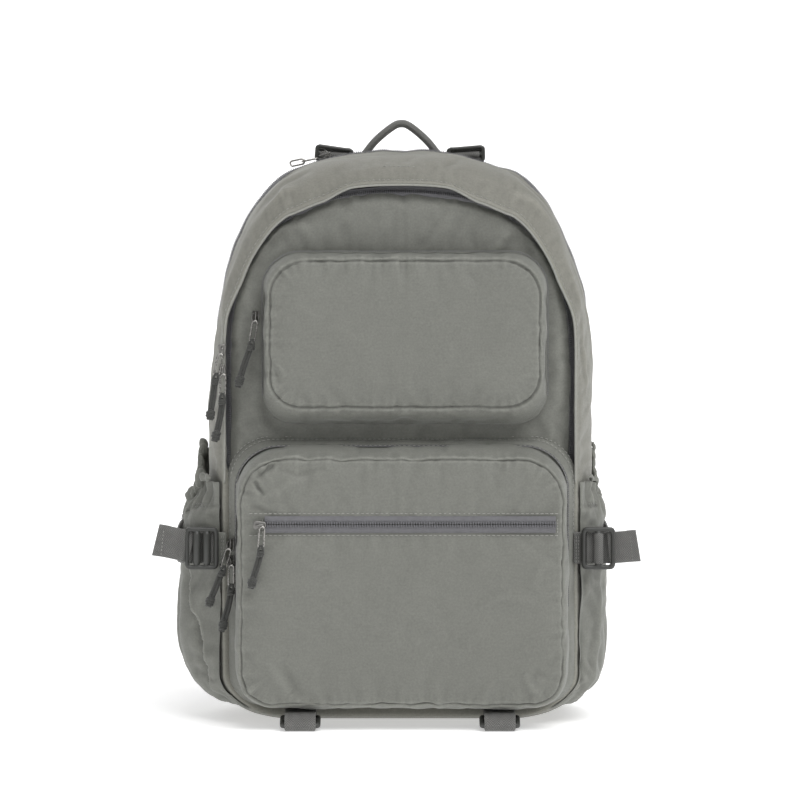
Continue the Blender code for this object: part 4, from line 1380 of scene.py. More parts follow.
def upper_pocket():
    piece, held, seam = pocket_shell("upper_pocket_shell", UPPER_FORM, UPPER_RIMS, 0.0022)
    settle(piece, held, pressure=3.0, slack=0.016, cap=0.0035)
    refined(piece, 2)
    points = points_of(piece.data)
    front = smoothstep((-0.062 - points[:, 1]) / 0.01)
    push(piece, folded(points, UPPER_FOLDS), waves(points, 0.05, 0.0014, 21.0) * front,
         waves(points, 0.013, 0.0005, 22.0) * front)
    points = points_of(piece.data)
    push(piece, puckers(points, ring_closed(seam), 0.0021, 0.0022, 0.0068, 0.0110, 23.0, 0.0013))
    finish_piece(piece, "flap", "nylon_fabric", "upper_pocket")


def lower_pocket():
    piece, held, seam = pocket_shell("lower_pocket_shell", LOWER_FORM, LOWER_RIMS, 0.0026, (0.1560, 0.1712))
    settle(piece, held, pressure=2.6, slack=0.014, cap=0.0032)
    refined(piece, 2)
    points = points_of(piece.data)
    front = smoothstep((-0.062 - points[:, 1]) / 0.01)
    calm = 1.0 - 0.8 * np.exp(-((points[:, 2] - 0.1636) / 0.009) ** 2) * (points[:, 1] < -0.100)
    push(piece, folded(points, LOWER_FOLDS), waves(points, 0.06, 0.0015, 31.0) * front * calm,
         waves(points, 0.015, 0.0006, 32.0) * front * calm)
    points = points_of(piece.data)
    push(piece, puckers(points, ring_closed(seam), 0.0022, 0.0024, 0.0075, 0.0125, 33.0, 0.0013))
    points = points_of(piece.data)
    zip_ring = pocket_ring(LOWER_FORM, -0.0758, -0.0018, 0.0, -0.0010)
    zip_ring = opened(zip_ring[zip_ring[:, 2] > 0.094])
    push(piece, puckers(points, zip_ring, 0.0016, 0.0006, 0.006, 0.012, 34.0, 0.0016))
    keep_above(piece, 0.0030)
    finish_piece(piece, "pack", "nylon_fabric", "lower_pocket")
    return zip_ring


FRONT_ZIP_Y = -0.1120
# the front zip's tape: heights from its middle, and depths behind its face
FRONT_ZIP_ROWS = ((0.0003, 0.0008), (0.0006, 0.0), (0.0034, -0.0001), (0.0062, 0.0002), (0.0066, 0.0010))


def pocket_trims(zip_ring):
    """The arch zip, its stitch rows, and the straight zip across the lower pocket's face."""
    centre = np.array([0.0015, -0.0758, 0.11])
    outward = unit((zip_ring - centre) * (1.0, 0.0, 1.0))
    path = evenly(zip_ring, 240)
    out = evenly(outward, 240)
    shape = Shape()
    for turn, shift in ((-1.0, -0.0010), (1.0, 0.0010)):
        rows = [path + out * (0.0004 - 0.0003 * step) + (0.0, shift + turn * 0.0016 * step, 0.0)
                for step in (0, 1, 2)]
        shape.grid(np.stack(rows), flip=turn > 0)
    shape.finish("lower_pocket_arch_tape", TAPE, "pack", "zip_tape", "lower_pocket_top_zip")
    shape = Shape()
    zip_teeth(shape, path + out * 0.0007, ALONG_Y, size=(0.0026, 0.0008, 0.0012))
    shape.finish("lower_pocket_arch_coil", TAPE, "pack", "zip_tape")
    rows = []
    for y, grow, foot in ((-0.0625, 0.0072, 0.150), (-0.0672, 0.0054, 0.150), (-0.0790, 0.0012, 0.120)):
        ring = pocket_ring(LOWER_FORM, y, -grow * 1.15, 0.0, -grow)
        ring = opened(ring[ring[:, 2] > foot])
        rows.append((ring, unit(ring - (0.0015, y + 0.10, 0.11))))
    sewn("lower_pocket_arch_stitches", THREAD, "pack", "nylon_fabric", rows, lift=0.0004)

    low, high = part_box("lower_pocket_front_zip")
    shape = Shape()
    middle = 0.5 * (low.z + high.z)
    for sign in (-1.0, 1.0):
        rows = [level(low.x, high.x, FRONT_ZIP_Y + depth, middle + sign * reach, 120)
                for reach, depth in FRONT_ZIP_ROWS]
        shape.grid(np.stack(rows), flip=sign < 0)
    shape.finish("front_zip_tape", TAPE, "pack", "zip_tape", "lower_pocket_front_zip")
    shape = Shape()
    for sign in (-1.0, 1.0):
        row = level(low.x, high.x, FRONT_ZIP_Y - 0.0006, middle + sign * 0.0010, 120)
        zip_teeth(shape, row, (0.25, 0.0, 1.0), pitch=0.0020, size=(0.0026, 0.0010, 0.0010))
    shape.finish("front_zip_coil", TAPE, "pack", "zip_tape")
    shape = Shape()
    for z in (low.z - 0.0022, high.z + 0.0022):
        stitches(shape, level(low.x - 0.012, high.x + 0.006, FRONT_ZIP_Y + 0.0008, z, 90), FORWARD)
    for x in (low.x - 0.0015, high.x + 0.0015):
        line = upright(x, FRONT_ZIP_Y + 0.0004, low.z, high.z, 9)
        stitches(shape, line, FORWARD, stitch=0.0016, gap=0.0006)
    shape.finish("front_zip_stitches", THREAD, "pack", "nylon_fabric")

    shape = Shape()
    ring = pocket_ring(UPPER_FORM, -0.0712, -0.0006, 0.0, -0.0006)
    ring = opened(ring[ring[:, 2] > 0.262])
    zip_teeth(shape, ring, ALONG_Y, size=(0.0032, 0.0009, 0.0012))
    shape.finish("upper_pocket_coil", TAPE, "flap", "zip_tape", "upper_pocket_zip")


# ---------------------------------------------------------------- side pockets
def side_shape(share):
    return np.maximum(np.sin(np.pi * share), 0.0) ** 0.45


def side_mouth(share):
    """Height of the mouth: level in front, low at the outside, highest towards the back."""
    return (SIDE_MOUTH - 0.003 - (SIDE_MOUTH_DROP - 0.004) * np.exp(-((share - 0.46) / 0.17) ** 2)
            + 0.019 * smoothstep((share - 0.58) / 0.32))


def side_bulge(z, sign):
    """How far the pocket stands off the body: full above its base, drawn in again at its mouth."""
    climb = min(max((z - SIDE_BOTTOM) / 0.060, 0.0), 1.0)
    full = SIDE_BULGE if sign < 0 else SIDE_BULGE_RIGHT
    drawn = 1.0 - 0.62 * float(smoothstep((z - 0.160) / 0.030))
    return (0.0012 + (full - 0.0012) * math.sin(0.5 * math.pi * climb) ** 0.8) * drawn


def side_point(share, z, sign, grow=0.0):
    y = SIDE_FRONT + (SIDE_BACK - SIDE_FRONT) * share
    x = body_half_width(y, z) + 0.0022 + (side_bulge(z, sign) + grow) * float(side_shape(share))
    lift = 0.0080 * float(smoothstep((x - 0.090) / 0.050) * (1.0 - smoothstep(z / 0.050)))
    return (sign * x, y, z + lift)


PLEAT = ((0.0256, 0.1505), (0.0456, 0.1537), (0.0696, 0.1600), (0.0976, 0.1648), (0.1250, 0.1680))
PLEAT_HEIGHTS = (0.0160, 0.0256, 0.0456, 0.0976, 0.1200, 0.1290)
PLEAT_DEPTHS = (0.0, 0.0090, 0.0160, 0.0150, 0.0085, 0.0)


def pleated(points, sign):
    """A deep fold down the front of a slack pocket: a sharp edge, with the cloth behind it sunk."""
    shares = np.linspace(0.0, 0.5, 200)
    edges = []
    for z, x in PLEAT:
        row = np.array([side_point(share, z, sign) for share in shares])
        edges.append(np.interp(x, np.abs(row[:, 0]), row[:, 1]))
    edge = np.interp(points[:, 2], [z for z, _ in PLEAT], edges)
    behind = points[:, 1] - edge
    depth = np.interp(points[:, 2], PLEAT_HEIGHTS, PLEAT_DEPTHS)
    sunk = depth * smoothstep(behind / 0.0016) * np.exp(-np.maximum(behind, 0.0) / 0.0085)
    raised = 0.11 * depth * np.exp(np.minimum(behind, 0.0) / 0.0040)
    points[:, 0] -= sign * (sunk - raised)
    return points


def below_mouth(share, drop, sign, grow=0.0):
    return side_point(share, float(side_mouth(share)) - drop, sign, grow)


SIDE_FOLDS = (
    (((0.173, -0.044, 0.122), (0.171, -0.044, 0.080), (0.158, -0.048, 0.026)), 0.0045, 0.0034),
    (((0.150, -0.062, 0.118), (0.152, -0.061, 0.100), (0.156, -0.060, 0.084)), 0.0030, 0.0016),
    (((0.176, -0.020, 0.120), (0.177, -0.016, 0.070), (0.166, -0.014, 0.030)), 0.0050, -0.0024),
    (((0.176, 0.022, 0.118), (0.176, 0.030, 0.080), (0.168, 0.034, 0.036)), 0.0050, 0.0022),
)
SIDE_FOLDS_RIGHT = (
    (((0.1462, -0.0630, 0.126), (0.1470, -0.0625, 0.080), (0.1440, -0.0610, 0.026)), 0.0022, -0.0050),
    (((0.158, -0.0590, 0.122), (0.155, -0.0595, 0.092), (0.158, -0.058, 0.062)), 0.0032, 0.0026),
)


def side_pocket(side, sign):
    columns, rows = 66, 56
    shape = Shape()
    grid = np.zeros((rows + 1, columns + 1, 3))
    for row, column in np.ndindex(rows + 1, columns + 1):
        share = column / columns
        rise = float(side_mouth(share)) - SIDE_BOTTOM + 0.006
        grid[row, column] = side_point(share, SIDE_BOTTOM - 0.006 + rise * (row / rows), sign)
    shape.grid(grid, flip=sign < 0)
    piece = shape.build("side_pocket_cloth_" + side, NYLON)
    held = np.where(np.abs(grid[..., 2] - COMPRESSION_Z) < 0.011, 0.9, held_edges(grid))
    settle(piece, held.ravel(), pressure=1.6, slack=0.03, cap=0.0035)
    refined(piece)
    points = points_of(piece.data)
    calm = 1.0 - 0.7 * np.exp(-((points[:, 2] - COMPRESSION_Z) / 0.014) ** 2)
    inset = 0.0100 if sign > 0 else 0.0
    folds = [([(x - inset, y, z) for x, y, z in path], width, height) for path, width, height in SIDE_FOLDS]
    if sign > 0:
        folds += SIDE_FOLDS_RIGHT
    folds = [(handed(path, sign), width, height) for path, width, height in folds]
    for index, share in enumerate(np.linspace(0.07, 0.93, 19)):
        reach = 0.012 + 0.016 * noise.noise((index * 1.7, sign, 0.0))
        path = [below_mouth(share, drop, sign) for drop in (-0.004, 0.5 * reach, reach + 0.010)]
        folds.append((path, 0.0026, 0.0026 if index % 2 else -0.0024))
    push(piece, folded(points, folds), waves(points, 0.032, 0.0022, 41.0 + sign) * calm,
         waves(points, 0.012, 0.0008, 43.0 + sign) * calm)
    if sign < 0:
        set_points(piece.data, pleated(points_of(piece.data), sign))
    points = points_of(piece.data)
    shares = np.linspace(0.0, 1.0, 60)
    hem = np.array([below_mouth(share, 0.0190, sign) for share in shares])
    foot = np.array([side_point(share, SIDE_BOTTOM + 0.004, sign) for share in shares])
    push(piece, puckers(points, hem, 0.0012, 0.0009, 0.006, 0.009, 45.0 + sign, 0.0011),
         puckers(points, foot, 0.0006, 0.0018, 0.010, 0.012, 47.0 + sign))
    keep_above(piece, 0.0022)
    finish_piece(piece, "pack", "nylon_fabric", "side_pocket_" + side)

    outward = (0.8 * sign, -0.6, 0.0)
    rows = [(np.array([below_mouth(share, drop, sign, 0.0006) for share in shares[3:-3]]), outward)
            for drop in (0.0178, 0.0202)]
    sewn("side_pocket_stitches_" + side, DARK_THREAD, "pack", "nylon_fabric", rows, lift=0.0005)

    shape = Shape()
    count = 220
    path = np.array([below_mouth(share, -0.0030, sign, -0.0006) for share in np.linspace(0.05, 0.96, count)])
    outward = np.cross(unit(np.gradient(path, axis=0)), ALONG_Z) * sign
    along = lengths(path)
    lobe = np.array([abs(noise.noise((a / 0.0085, 3.0 * sign, 0.0))) for a in along])
    lean = np.array([noise.noise((a / 0.0110, 3.0 * sign, 5.0)) for a in along])
    ends = np.sin(np.pi * np.linspace(0.0, 1.0, count)) ** 0.3 * (1.25 if sign < 0 else 0.62)
    rings = []
    for angle in turns(14):
        crimp = np.array([noise.noise((a / 0.0042, 2.2 * math.cos(angle), 2.2 * math.sin(angle) + 9.0))
                          for a in along])
        tall = (0.0028 + 0.0090 * lobe + 0.0022 * crimp) * ends
        wide = (0.0020 + 0.0060 * lobe + 0.0018 * crimp) * ends
        rings.append(path + outward * (wide * math.cos(angle) + 0.0016 + 0.0022 * lean)[:, None]
                     + np.outer(tall * math.sin(angle) + 0.0022 * lean, ALONG_Z))
    shape.grid(np.stack(rings, 1), closed=True, flip=sign > 0)
    piece = refined(shape.build("side_pocket_ruffle_" + side, NYLON))
    finish_piece(piece, "pack", "nylon_fabric", "side_pocket_elastic_" + side)


# ---------------------------------------------------------------- back and carrying system
BACK_RIMS = ((0.0752, 0.0), (0.0790, -0.0008), (0.0840, 0.0004), (0.0872, 0.0028), (0.0885, 0.0070))


def back_panel():
    """Foam-padded back: a rolled edge, and three pads of spacer mesh between sewn channels."""
    columns, rows = 60, 84
    half = body_half(BODY_BACK, 0.0)

    def edges(inset):
        small = half * (1.0 - inset / 0.142, 1.0)
        small[:, 1] = 0.0040 + (half[:, 1] - 0.0040) * (1.0 - 2.0 * inset / 0.44) + inset
        return arch_sides(small, columns, rows)

    shape = Shape()
    rings = [at_depth(ring_of(edges(inset)), y) for y, inset in BACK_RIMS]
    flat = patch(edges(BACK_RIMS[-1][1]))
    u = np.linspace(-1.0, 1.0, columns + 1)[None, :]
    x, z = flat[..., 0], flat[..., 1]
    edge = np.minimum(1.0 - np.abs(u) + 0.0 * x, np.minimum(z - 0.010, 0.434 - z) / 0.13)
    pads = (1.0 - np.exp(-(x / 0.007) ** 2)) * (1.0 - np.exp(-((z - 0.125) / 0.007) ** 2))
    pads *= 1.0 - np.exp(-((z - 0.345) / 0.006) ** 2)
    rise = 0.0062 * smoothstep(edge / 0.16) * (0.25 + 0.75 * pads)
    face = np.stack([x, 0.0885 + rise, z], -1)
    shape.skirt(rings, border_of(shape.grid(face, flip=True)), flip=True)
    piece = refined(shape.build("back_pad", SPACER))
    set_points(piece.data, crowned(points_of(piece.data)))
    points = points_of(piece.data)
    push(piece, waves(points, 0.03, 0.0012, 51.0))
    finish_piece(piece, "pack", "lining", "back_panel")
    ring = crowned(at_depth(ring_of(edges(0.0060)), 0.0893))
    # the binding's paler nylon is a painted highlight
    swept("back_pad_binding", HIGHLIT_PIPED_NYLON, "pack", "nylon_fabric", [], ring, round_section(0.0016),
          cyclic=True)
    rows = [(np.array(path), ALONG_Y) for path in (((0.0, 0.0905, 0.020), (0.0, 0.0905, 0.425)),
                                                   ((-0.118, 0.0905, 0.125), (0.118, 0.0905, 0.125)),
                                                   ((-0.110, 0.0905, 0.345), (0.110, 0.0905, 0.345)))]
    sewn("back_pad_stitches", DARK_THREAD, "pack", "lining", rows, radius=0.0004)


def sleeve():
    """The padded sleeve inside the back: two rounded faces and the band between them."""
    low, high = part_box("laptop_sleeve")
    sides = rounded_sides((low.x, high.x, low.z, high.z), 0.014, 0.010, 40, 52)
    shape = Shape()
    grid = patch(sides)
    front = np.stack([grid[..., 0], np.full(grid.shape[:2], low.y), grid[..., 1]], -1)
    near = border_of(shape.grid(front))
    far = border_of(shape.grid(front + (0.0, high.y - low.y, 0.0), flip=True))
    band = np.stack([at_depth(ring_of(sides), y) for y in (high.y, low.y)])
    shape.grid(band, index=np.vstack([far, near]), closed=True)
    piece = shape.build("sleeve", LINING)
    points = points_of(piece.data)
    push(piece, waves(points, 0.05, 0.0012, 53.0))
    finish_piece(piece, "pack", "lining", "laptop_sleeve")
    hem = level(low.x + 0.004, high.x - 0.004, low.y + 0.005, high.z, 40)
    # the binding's paler nylon is a painted highlight
    swept("sleeve_binding", HIGHLIT_PIPED_NYLON, "pack", "lining", [], hem, round_section(0.0058, 10, 0.5),
          across=ALONG_Y)


HANDLE_Y = 0.0790
HANDLE_ROUTE = ((-0.0300, 0.4460), (-0.0195, 0.4590), (-0.0060, 0.4700), (0.0012, 0.4725), (0.0085, 0.4700),
                (0.0215, 0.4590), (0.0320, 0.4460))


def grab_handle():
    path = smooth_path([(x, HANDLE_Y, z) for x, z in HANDLE_ROUTE], 60)
    section = strap_section(0.0150, 0.0060, 12)
    swept("handle_loop", HANDLE_WEB, "handle", "webbing", ["grab_handle"], path, section, across=ALONG_Y)
    rows = [(path + (0.0, edge * 0.0075, 0.0), (0.0, edge, 0.0)) for edge in (-1.0, 1.0)]
    sewn("handle_stitches", DARK_THREAD, "handle", "webbing", rows, lift=0.0)


LIFTER_TAB = ((0.0905, 0.4360), (0.0935, 0.4440), (0.0968, 0.4500), (0.0985, 0.4550), (0.1030, 0.4545),
              (0.1060, 0.4490))
LIFTER_ROUTE = ((0.0935, 0.4340), (0.1010, 0.4425), (0.1130, 0.4435), (0.1270, 0.4360), (0.1440, 0.4130),
                (0.1500, 0.3900))
STRAP_ROUTE = ((0.0500, 0.0975, 0.4120), (0.0505, 0.1050, 0.4290), (0.0520, 0.1220, 0.4250),
               (0.0560, 0.1370, 0.3900), (0.0620, 0.1430, 0.3400), (0.0730, 0.1430, 0.2800),
               (0.0850, 0.1390, 0.2200), (0.0940, 0.1310, 0.1700), (0.0980, 0.1250, 0.1450))
STRAP_FOOT = ((0.1000, 0.1140, 0.1165), (0.1040, 0.1080, 0.0900), (0.1120, 0.1000, 0.0500),
              (0.1180, 0.0925, 0.0260))
STRAP_TAIL = ((0.0990, 0.1235, 0.1225), (0.1010, 0.1240, 0.1050), (0.1040, 0.1195, 0.0800),
              (0.1075, 0.1150, 0.0560))
STRAP_ANCHOR = ((0.1180, 0.0925, 0.0320), (0.1200, 0.0915, 0.0220), (0.1215, 0.0905, 0.0160))


def lock_outlines(width, height, rail, bars=1):
    """A strap adjuster's outline and its slots, which run along its height."""
    def rounded(left, right, bottom, top, corner):
        return ring_of(rounded_sides((left, right, bottom, top), corner, corner, 12, 12))
    outlines = [rounded(-0.5 * width, 0.5 * width, -0.5 * height, 0.5 * height, 0.0040)]
    slot = (width - (bars + 2) * rail) / (bars + 1)
    for index in range(bars + 1):
        low = -0.5 * width + rail + index * (slot + rail)
        outlines.append(rounded(low, low + slot, -0.5 * height + 0.0035, 0.5 * height - 0.0035, 0.30 * slot))
    return outlines


def turned(centre, angles):
    turn = Matrix.Rotation(math.radians(angles[2]), 4, "Z") @ Matrix.Rotation(math.radians(angles[1]), 4, "Y")
    return Matrix.Translation(centre) @ turn @ Matrix.Rotation(math.radians(angles[0]), 4, "X")


def raised_bars(name, matrix, places, height, radius, material):
    """Rounded bars across an adjuster's frame."""
    shape = Shape()
    for place in places:
        ends = [matrix @ Vector((place, side * 0.5 * height, 0.0)) for side in (-1.0, -0.8, 0.8, 1.0)]
        shape.sweep(ends, round_section(radius, 14), scale=(0.7, 1.0, 1.0, 0.7))
    return shape.build(name, material)


def bar_wrap(shape, centre, along, width, radius, flat=1.0):
    """Webbing folded round a bar: a short sleeve with rounded edges."""
    centre, along = np.array(centre), np.array(along, float)
    places = np.array([-0.5, -0.47, -0.3, -0.1, 0.1, 0.3, 0.47, 0.5])
    path = centre + np.outer(places * width, along)
    shape.sweep(path, round_section(radius, 16, flat), scale=(0.7, 1.0, 1.0, 1.0, 1.0, 1.0, 1.0, 0.7))


def shoulder_strap(side, sign):
    body = "shoulder_" + side
    path = smooth_path(handed(STRAP_ROUTE, sign), 90)
    turn = turns(44)
    section = np.stack([0.0290 * np.sign(np.cos(turn)) * np.abs(np.cos(turn)) ** 0.55,
                        0.0052 * np.sign(np.sin(turn)) * np.abs(np.sin(turn)) ** 0.75], 1)
    ended, scale = round_ends(path, 0.004)
    scale = np.maximum(scale, 0.55)
    shape = Shape()
    shape.sweep(ended, section, across=ALONG_X, scale=scale)
    piece = shape.build("shoulder_pad_" + side, NYLON)
    points = points_of(piece.data)
    push(piece, waves(points, 0.03, 0.0016, 61.0 + sign), waves(points, 0.012, 0.0005, 62.0 + sign))
    piece.data.materials.append(SPACER)
    for polygon in piece.data.polygons:
        if polygon.normal.y < -0.35:
            polygon.material_index = 1
    finish_piece(piece, body, "nylon_fabric", "shoulder_strap_" + side)
    shape = Shape()
    for edge in (-1.0, 1.0):
        shape.sweep(path + (edge * 0.0292, 0.0, 0.0), strap_section(0.0030, 0.0058, 3), across=ALONG_X)
    shape.finish("shoulder_binding_" + side, WEB, body, "webbing")
    outward = unit(np.cross(np.gradient(path, axis=0), ALONG_X))
    outward *= np.where(outward[:, 1:2] < 0.0, -1.0, 1.0)
    cover = path[36:] + outward[36:] * 0.0063
    swept("shoulder_tape_" + side, WEB, body, "webbing", [], cover, strap_section(WEBBING, 0.0015),
          across=ALONG_X)
    shape = Shape()
    for edge in (-0.0108, 0.0108):
        stitches(shape, cover + outward[36:] * 0.0008 + (edge, 0.0, 0.0), outward[36:])
    for place in range(38, 88, 10):
        line = level(-0.0105, 0.0105, 0.0, 0.0, 8) + cover[place - 36] + outward[place] * 0.0008
        stitches(shape, line, outward[place], stitch=0.0018, gap=0.0004, radius=0.0004)
    shape.finish("shoulder_stitches_" + side, DARK_THREAD, body, "webbing")

    centre = Vector((sign * 0.0985, 0.1205, 0.1270))
    matrix = turned(centre, (0.0, 104.0, 90.0))
    outlines = lock_outlines(0.0260, 0.0310, 0.0038)
    lock = plate("shoulder_lock_" + side, outlines, 0.0040, 0.0011, PLASTIC, matrix)
    finish_piece(lock, body, "buckle_plastic", "shoulder_ladder_lock_" + side)
    shape = Shape()
    rail = centre + matrix.to_3x3() @ Vector((-0.0100, 0.0, 0.0))
    bar_wrap(shape, rail, ALONG_X, 0.0230, 0.0032, 0.8)
    bar_wrap(shape, centre, ALONG_X, 0.0230, 0.0031, 0.8)
    shape.finish("shoulder_lock_webbing_" + side, WEB, body, "webbing")

    foot = smooth_path(handed(STRAP_FOOT, sign), 30)
    bridging = ("pack", body, tuple(foot[-1]), tuple(foot[0]))
    strap("shoulder_webbing_strap_" + side, foot, ALONG_X, bridging, "shoulder_webbing_" + side)
    shape = Shape()
    tail = smooth_path(handed(STRAP_TAIL, sign), 24)
    hemmed(shape, tail, 6, ALONG_X)
    shape.finish("shoulder_tail_" + side, WEB, body, "webbing")
    swept("shoulder_anchor_" + side, NYLON, "pack", "nylon_fabric", [], handed(STRAP_ANCHOR, sign),
          strap_section(0.0300, 0.0030), across=ALONG_X)


def load_lifter(side, sign):
    x = sign * 0.0535
    centre = (x, 0.0950, 0.4510)
    tilt = 5.0 if sign < 0 else -1.5
    matrix = (Matrix.Translation(centre) @ Matrix.Rotation(math.radians(tilt), 4, "Y")
              @ Matrix.Rotation(math.radians(90.0), 4, "X") @ Matrix.Rotation(math.radians(90.0), 4, "Z"))
    outlines = lock_outlines(0.0145, 0.0315, 0.0030)
    lock = plate("load_lifter_lock_" + side, outlines, 0.0042, 0.0012, PLASTIC, matrix)
    set_points(lock.data, crowned(points_of(lock.data)))
    finish_piece(lock, "pack", "buckle_plastic", "load_lifter_buckle_" + side)
    shape = Shape()
    bar_wrap(shape, centre, ALONG_X, 0.0225, 0.0026)
    route = smooth_path([(x, y, z) for y, z in LIFTER_TAB], 18)
    shape.sweep(route, strap_section(0.0250, 0.0022), across=ALONG_X)
    tab = shape.build("load_lifter_tab_" + side, WEB)
    set_points(tab.data, crowned(points_of(tab.data)))
    finish_piece(tab, "pack", "webbing")
    path = crowned(smooth_path([(x, y, z) for y, z in LIFTER_ROUTE], 40))
    bridging = ("pack", "shoulder_" + side, tuple(path[0]), tuple(path[-1]))
    strap("load_lifter_webbing_" + side, path, ALONG_X, bridging, "load_lifter_strap_" + side)


# ---------------------------------------------------------------- side compression and bottom straps
COMPRESSION_ROUTE = ((0.1620, -0.0668), (0.1700, -0.0655), (0.1752, -0.0560), (0.1768, -0.0300),
                     (0.1768, 0.0250), (0.1748, 0.0520), (0.1660, 0.0690), (0.1500, 0.0745))
COMPRESSION_ROUTE_RIGHT = ((0.1600, -0.0668), (0.1626, -0.0650), (0.1646, -0.0560), (0.1654, -0.0300),
                           (0.1654, 0.0250), (0.1644, 0.0500), (0.1602, 0.0670), (0.1500, 0.0745))


COMPRESSION_TAB = ((0.1372, -0.0672), (0.1440, -0.0672), (0.1530, -0.0678))
COMPRESSION_UNDER = ((0.1475, -0.0688), (0.1520, -0.0670), (0.1567, -0.0660), (0.1620, -0.0664),
                     (0.1665, -0.0682))
# the loose end: shares of its length, depth, and shares of its rise
TAIL_ROUTE = ((0.0, -0.0700, 0.10), (0.139, -0.0712, 0.25), (0.255, -0.0735, 0.40), (0.470, -0.0752, 0.62),
              (0.735, -0.0753, 0.85), (1.0, -0.0748, 1.00))
TAIL_START = 0.1648
TAIL_SLANT = 0.11             # sideways lean of the tail's cut end


def at_strap(route, sign, count):
    """A smooth path at the height of the compression straps."""
    return smooth_path([(sign * x, y, COMPRESSION_Z) for x, y in route], count)


def compression(side, sign):
    swept("compression_tab_" + side, NYLON if sign < 0 else WEB, "pack", "webbing",
          ["compression_anchor_" + side], at_strap(COMPRESSION_TAB, sign, 10), strap_section(WEBBING, 0.0020),
          across=ALONG_Z)
    rows = [(upright(sign * x, -0.0684, COMPRESSION_Z - 0.0115, COMPRESSION_Z + 0.0115, 12), FORWARD)
            for x in (0.1392, 0.1412)]
    sewn("compression_tab_stitches_" + side, THREAD, "pack", "webbing", rows, stitch=0.0018, gap=0.0009)
    centre = (sign * 0.1567, -0.0712, COMPRESSION_Z)
    matrix = Matrix.Translation(centre) @ Matrix.Rotation(math.radians(90.0), 4, "X")
    bars = (-0.0040, 0.0040) if sign < 0 else (0.0,)
    outlines = lock_outlines(0.0268, 0.0335, 0.0034, len(bars))
    lock = plate("lock_frame", outlines, 0.0044, 0.0015, PLASTIC, matrix)
    lock.data.uv_layers.new(name="cloth")
    rails = raised_bars("lock_bars", matrix, bars, 0.0275, 0.0032, PLASTIC)
    lock = joined("compression_lock_" + side, [lock, rails])
    finish_piece(lock, "pack", "buckle_plastic", "compression_buckle_" + side)
    shape = Shape()
    shape.sweep(at_strap(COMPRESSION_UNDER, sign, 12), strap_section(WEBBING - 0.0004, WEBBING_THICKNESS),
                across=ALONG_Z)
    if sign > 0:
        bar_wrap(shape, (0.1567, -0.0716, COMPRESSION_Z), ALONG_Z, 0.0240, 0.0040, 0.85)
    shape.finish("compression_lock_webbing_" + side, WEB, "pack", "webbing")
    path = at_strap(COMPRESSION_ROUTE if sign < 0 else COMPRESSION_ROUTE_RIGHT, sign, 70)
    strap("compression_webbing_" + side, path, ALONG_Z, "pack", "compression_strap_" + side)
    lift, end = (0.0070, 0.1928) if sign < 0 else (0.0024, 0.1880)
    route = [(TAIL_START + (end - TAIL_START) * share, y, COMPRESSION_Z + rise * lift)
             for share, y, rise in TAIL_ROUTE]
    shape = Shape()
    hemmed(shape, smooth_path(handed(route, sign), 34), 9, ALONG_Z)
    piece = shape.build("compression_loose_end_" + side, WEB)
    points = points_of(piece.data)
    slant = smoothstep((np.abs(points[:, 0]) - end + 0.015) / 0.015)
    points[:, 0] += sign * slant * TAIL_SLANT * (COMPRESSION_Z + lift - points[:, 2])
    set_points(piece.data, points)
    finish_piece(piece, "tail_" + side, "webbing", "compression_tail_" + side)
    line = np.array([(sign * (end - 0.0055 - TAIL_SLANT * rise), -0.0758, COMPRESSION_Z + lift + rise)
                     for rise in np.linspace(-0.0118, 0.0112, 12)])
    sewn("compression_end_stitches_" + side, THREAD if sign < 0 else DARK_THREAD, "tail_" + side, "webbing",
         [(line, FORWARD)], stitch=0.0018, gap=0.0011, radius=0.0003)


BOTTOM_WRAP = ((-0.0880, 0.0112), (-0.0950, 0.0134), (-0.1030, 0.0128), (-0.1090, 0.0096), (-0.1112, 0.0056),
               (-0.1090, 0.0022))


def bottom_strap(side, sign):
    x = sign * 0.0785
    route = ((x, -0.0560, 0.0150), (x, -0.0662, 0.0130), (x, -0.0740, 0.0114), (x, -0.0838, 0.0104))
    strap("bottom_webbing_" + side, smooth_path(route, 16), ALONG_X, "pack", "bottom_strap_" + side)
    centre = Vector((x, -0.0970, 0.0066))
    matrix = turned(centre, (0.0, -12.0, 90.0))
    outlines = lock_outlines(0.0240, 0.0320, 0.0036)
    lock = plate("bottom_lock_plate_" + side, outlines, 0.0040, 0.0013, PLASTIC, matrix)
    finish_piece(lock, "bottom_lock_" + side, "buckle_plastic", "bottom_ladder_lock_" + side)
    shape = Shape()
    front = min((matrix @ Vector((reach, 0.0, 0.0)) for reach in (-0.0102, 0.0102)), key=lambda end: end.y)
    bar_wrap(shape, (front.x, front.y, max(front.z, 0.0046)), ALONG_X, 0.0245, 0.0042)
    bar_wrap(shape, centre, ALONG_X, 0.0240, 0.0030, 0.9)
    over = smooth_path([(x, y, z) for y, z in BOTTOM_WRAP], 20)
    shape.sweep(over, strap_section(0.0245, 0.0018), across=ALONG_X)
    shape.finish("bottom_lock_webbing_" + side, WEB, "bottom_lock_" + side, "webbing")


# ---------------------------------------------------------------- sliders and top zip
SLIDER_BRIDGE = ((-0.0036, 0.0018), (-0.0030, 0.0030), (-0.0008, 0.0036), (0.0016, 0.0034), (0.0030, 0.0018))


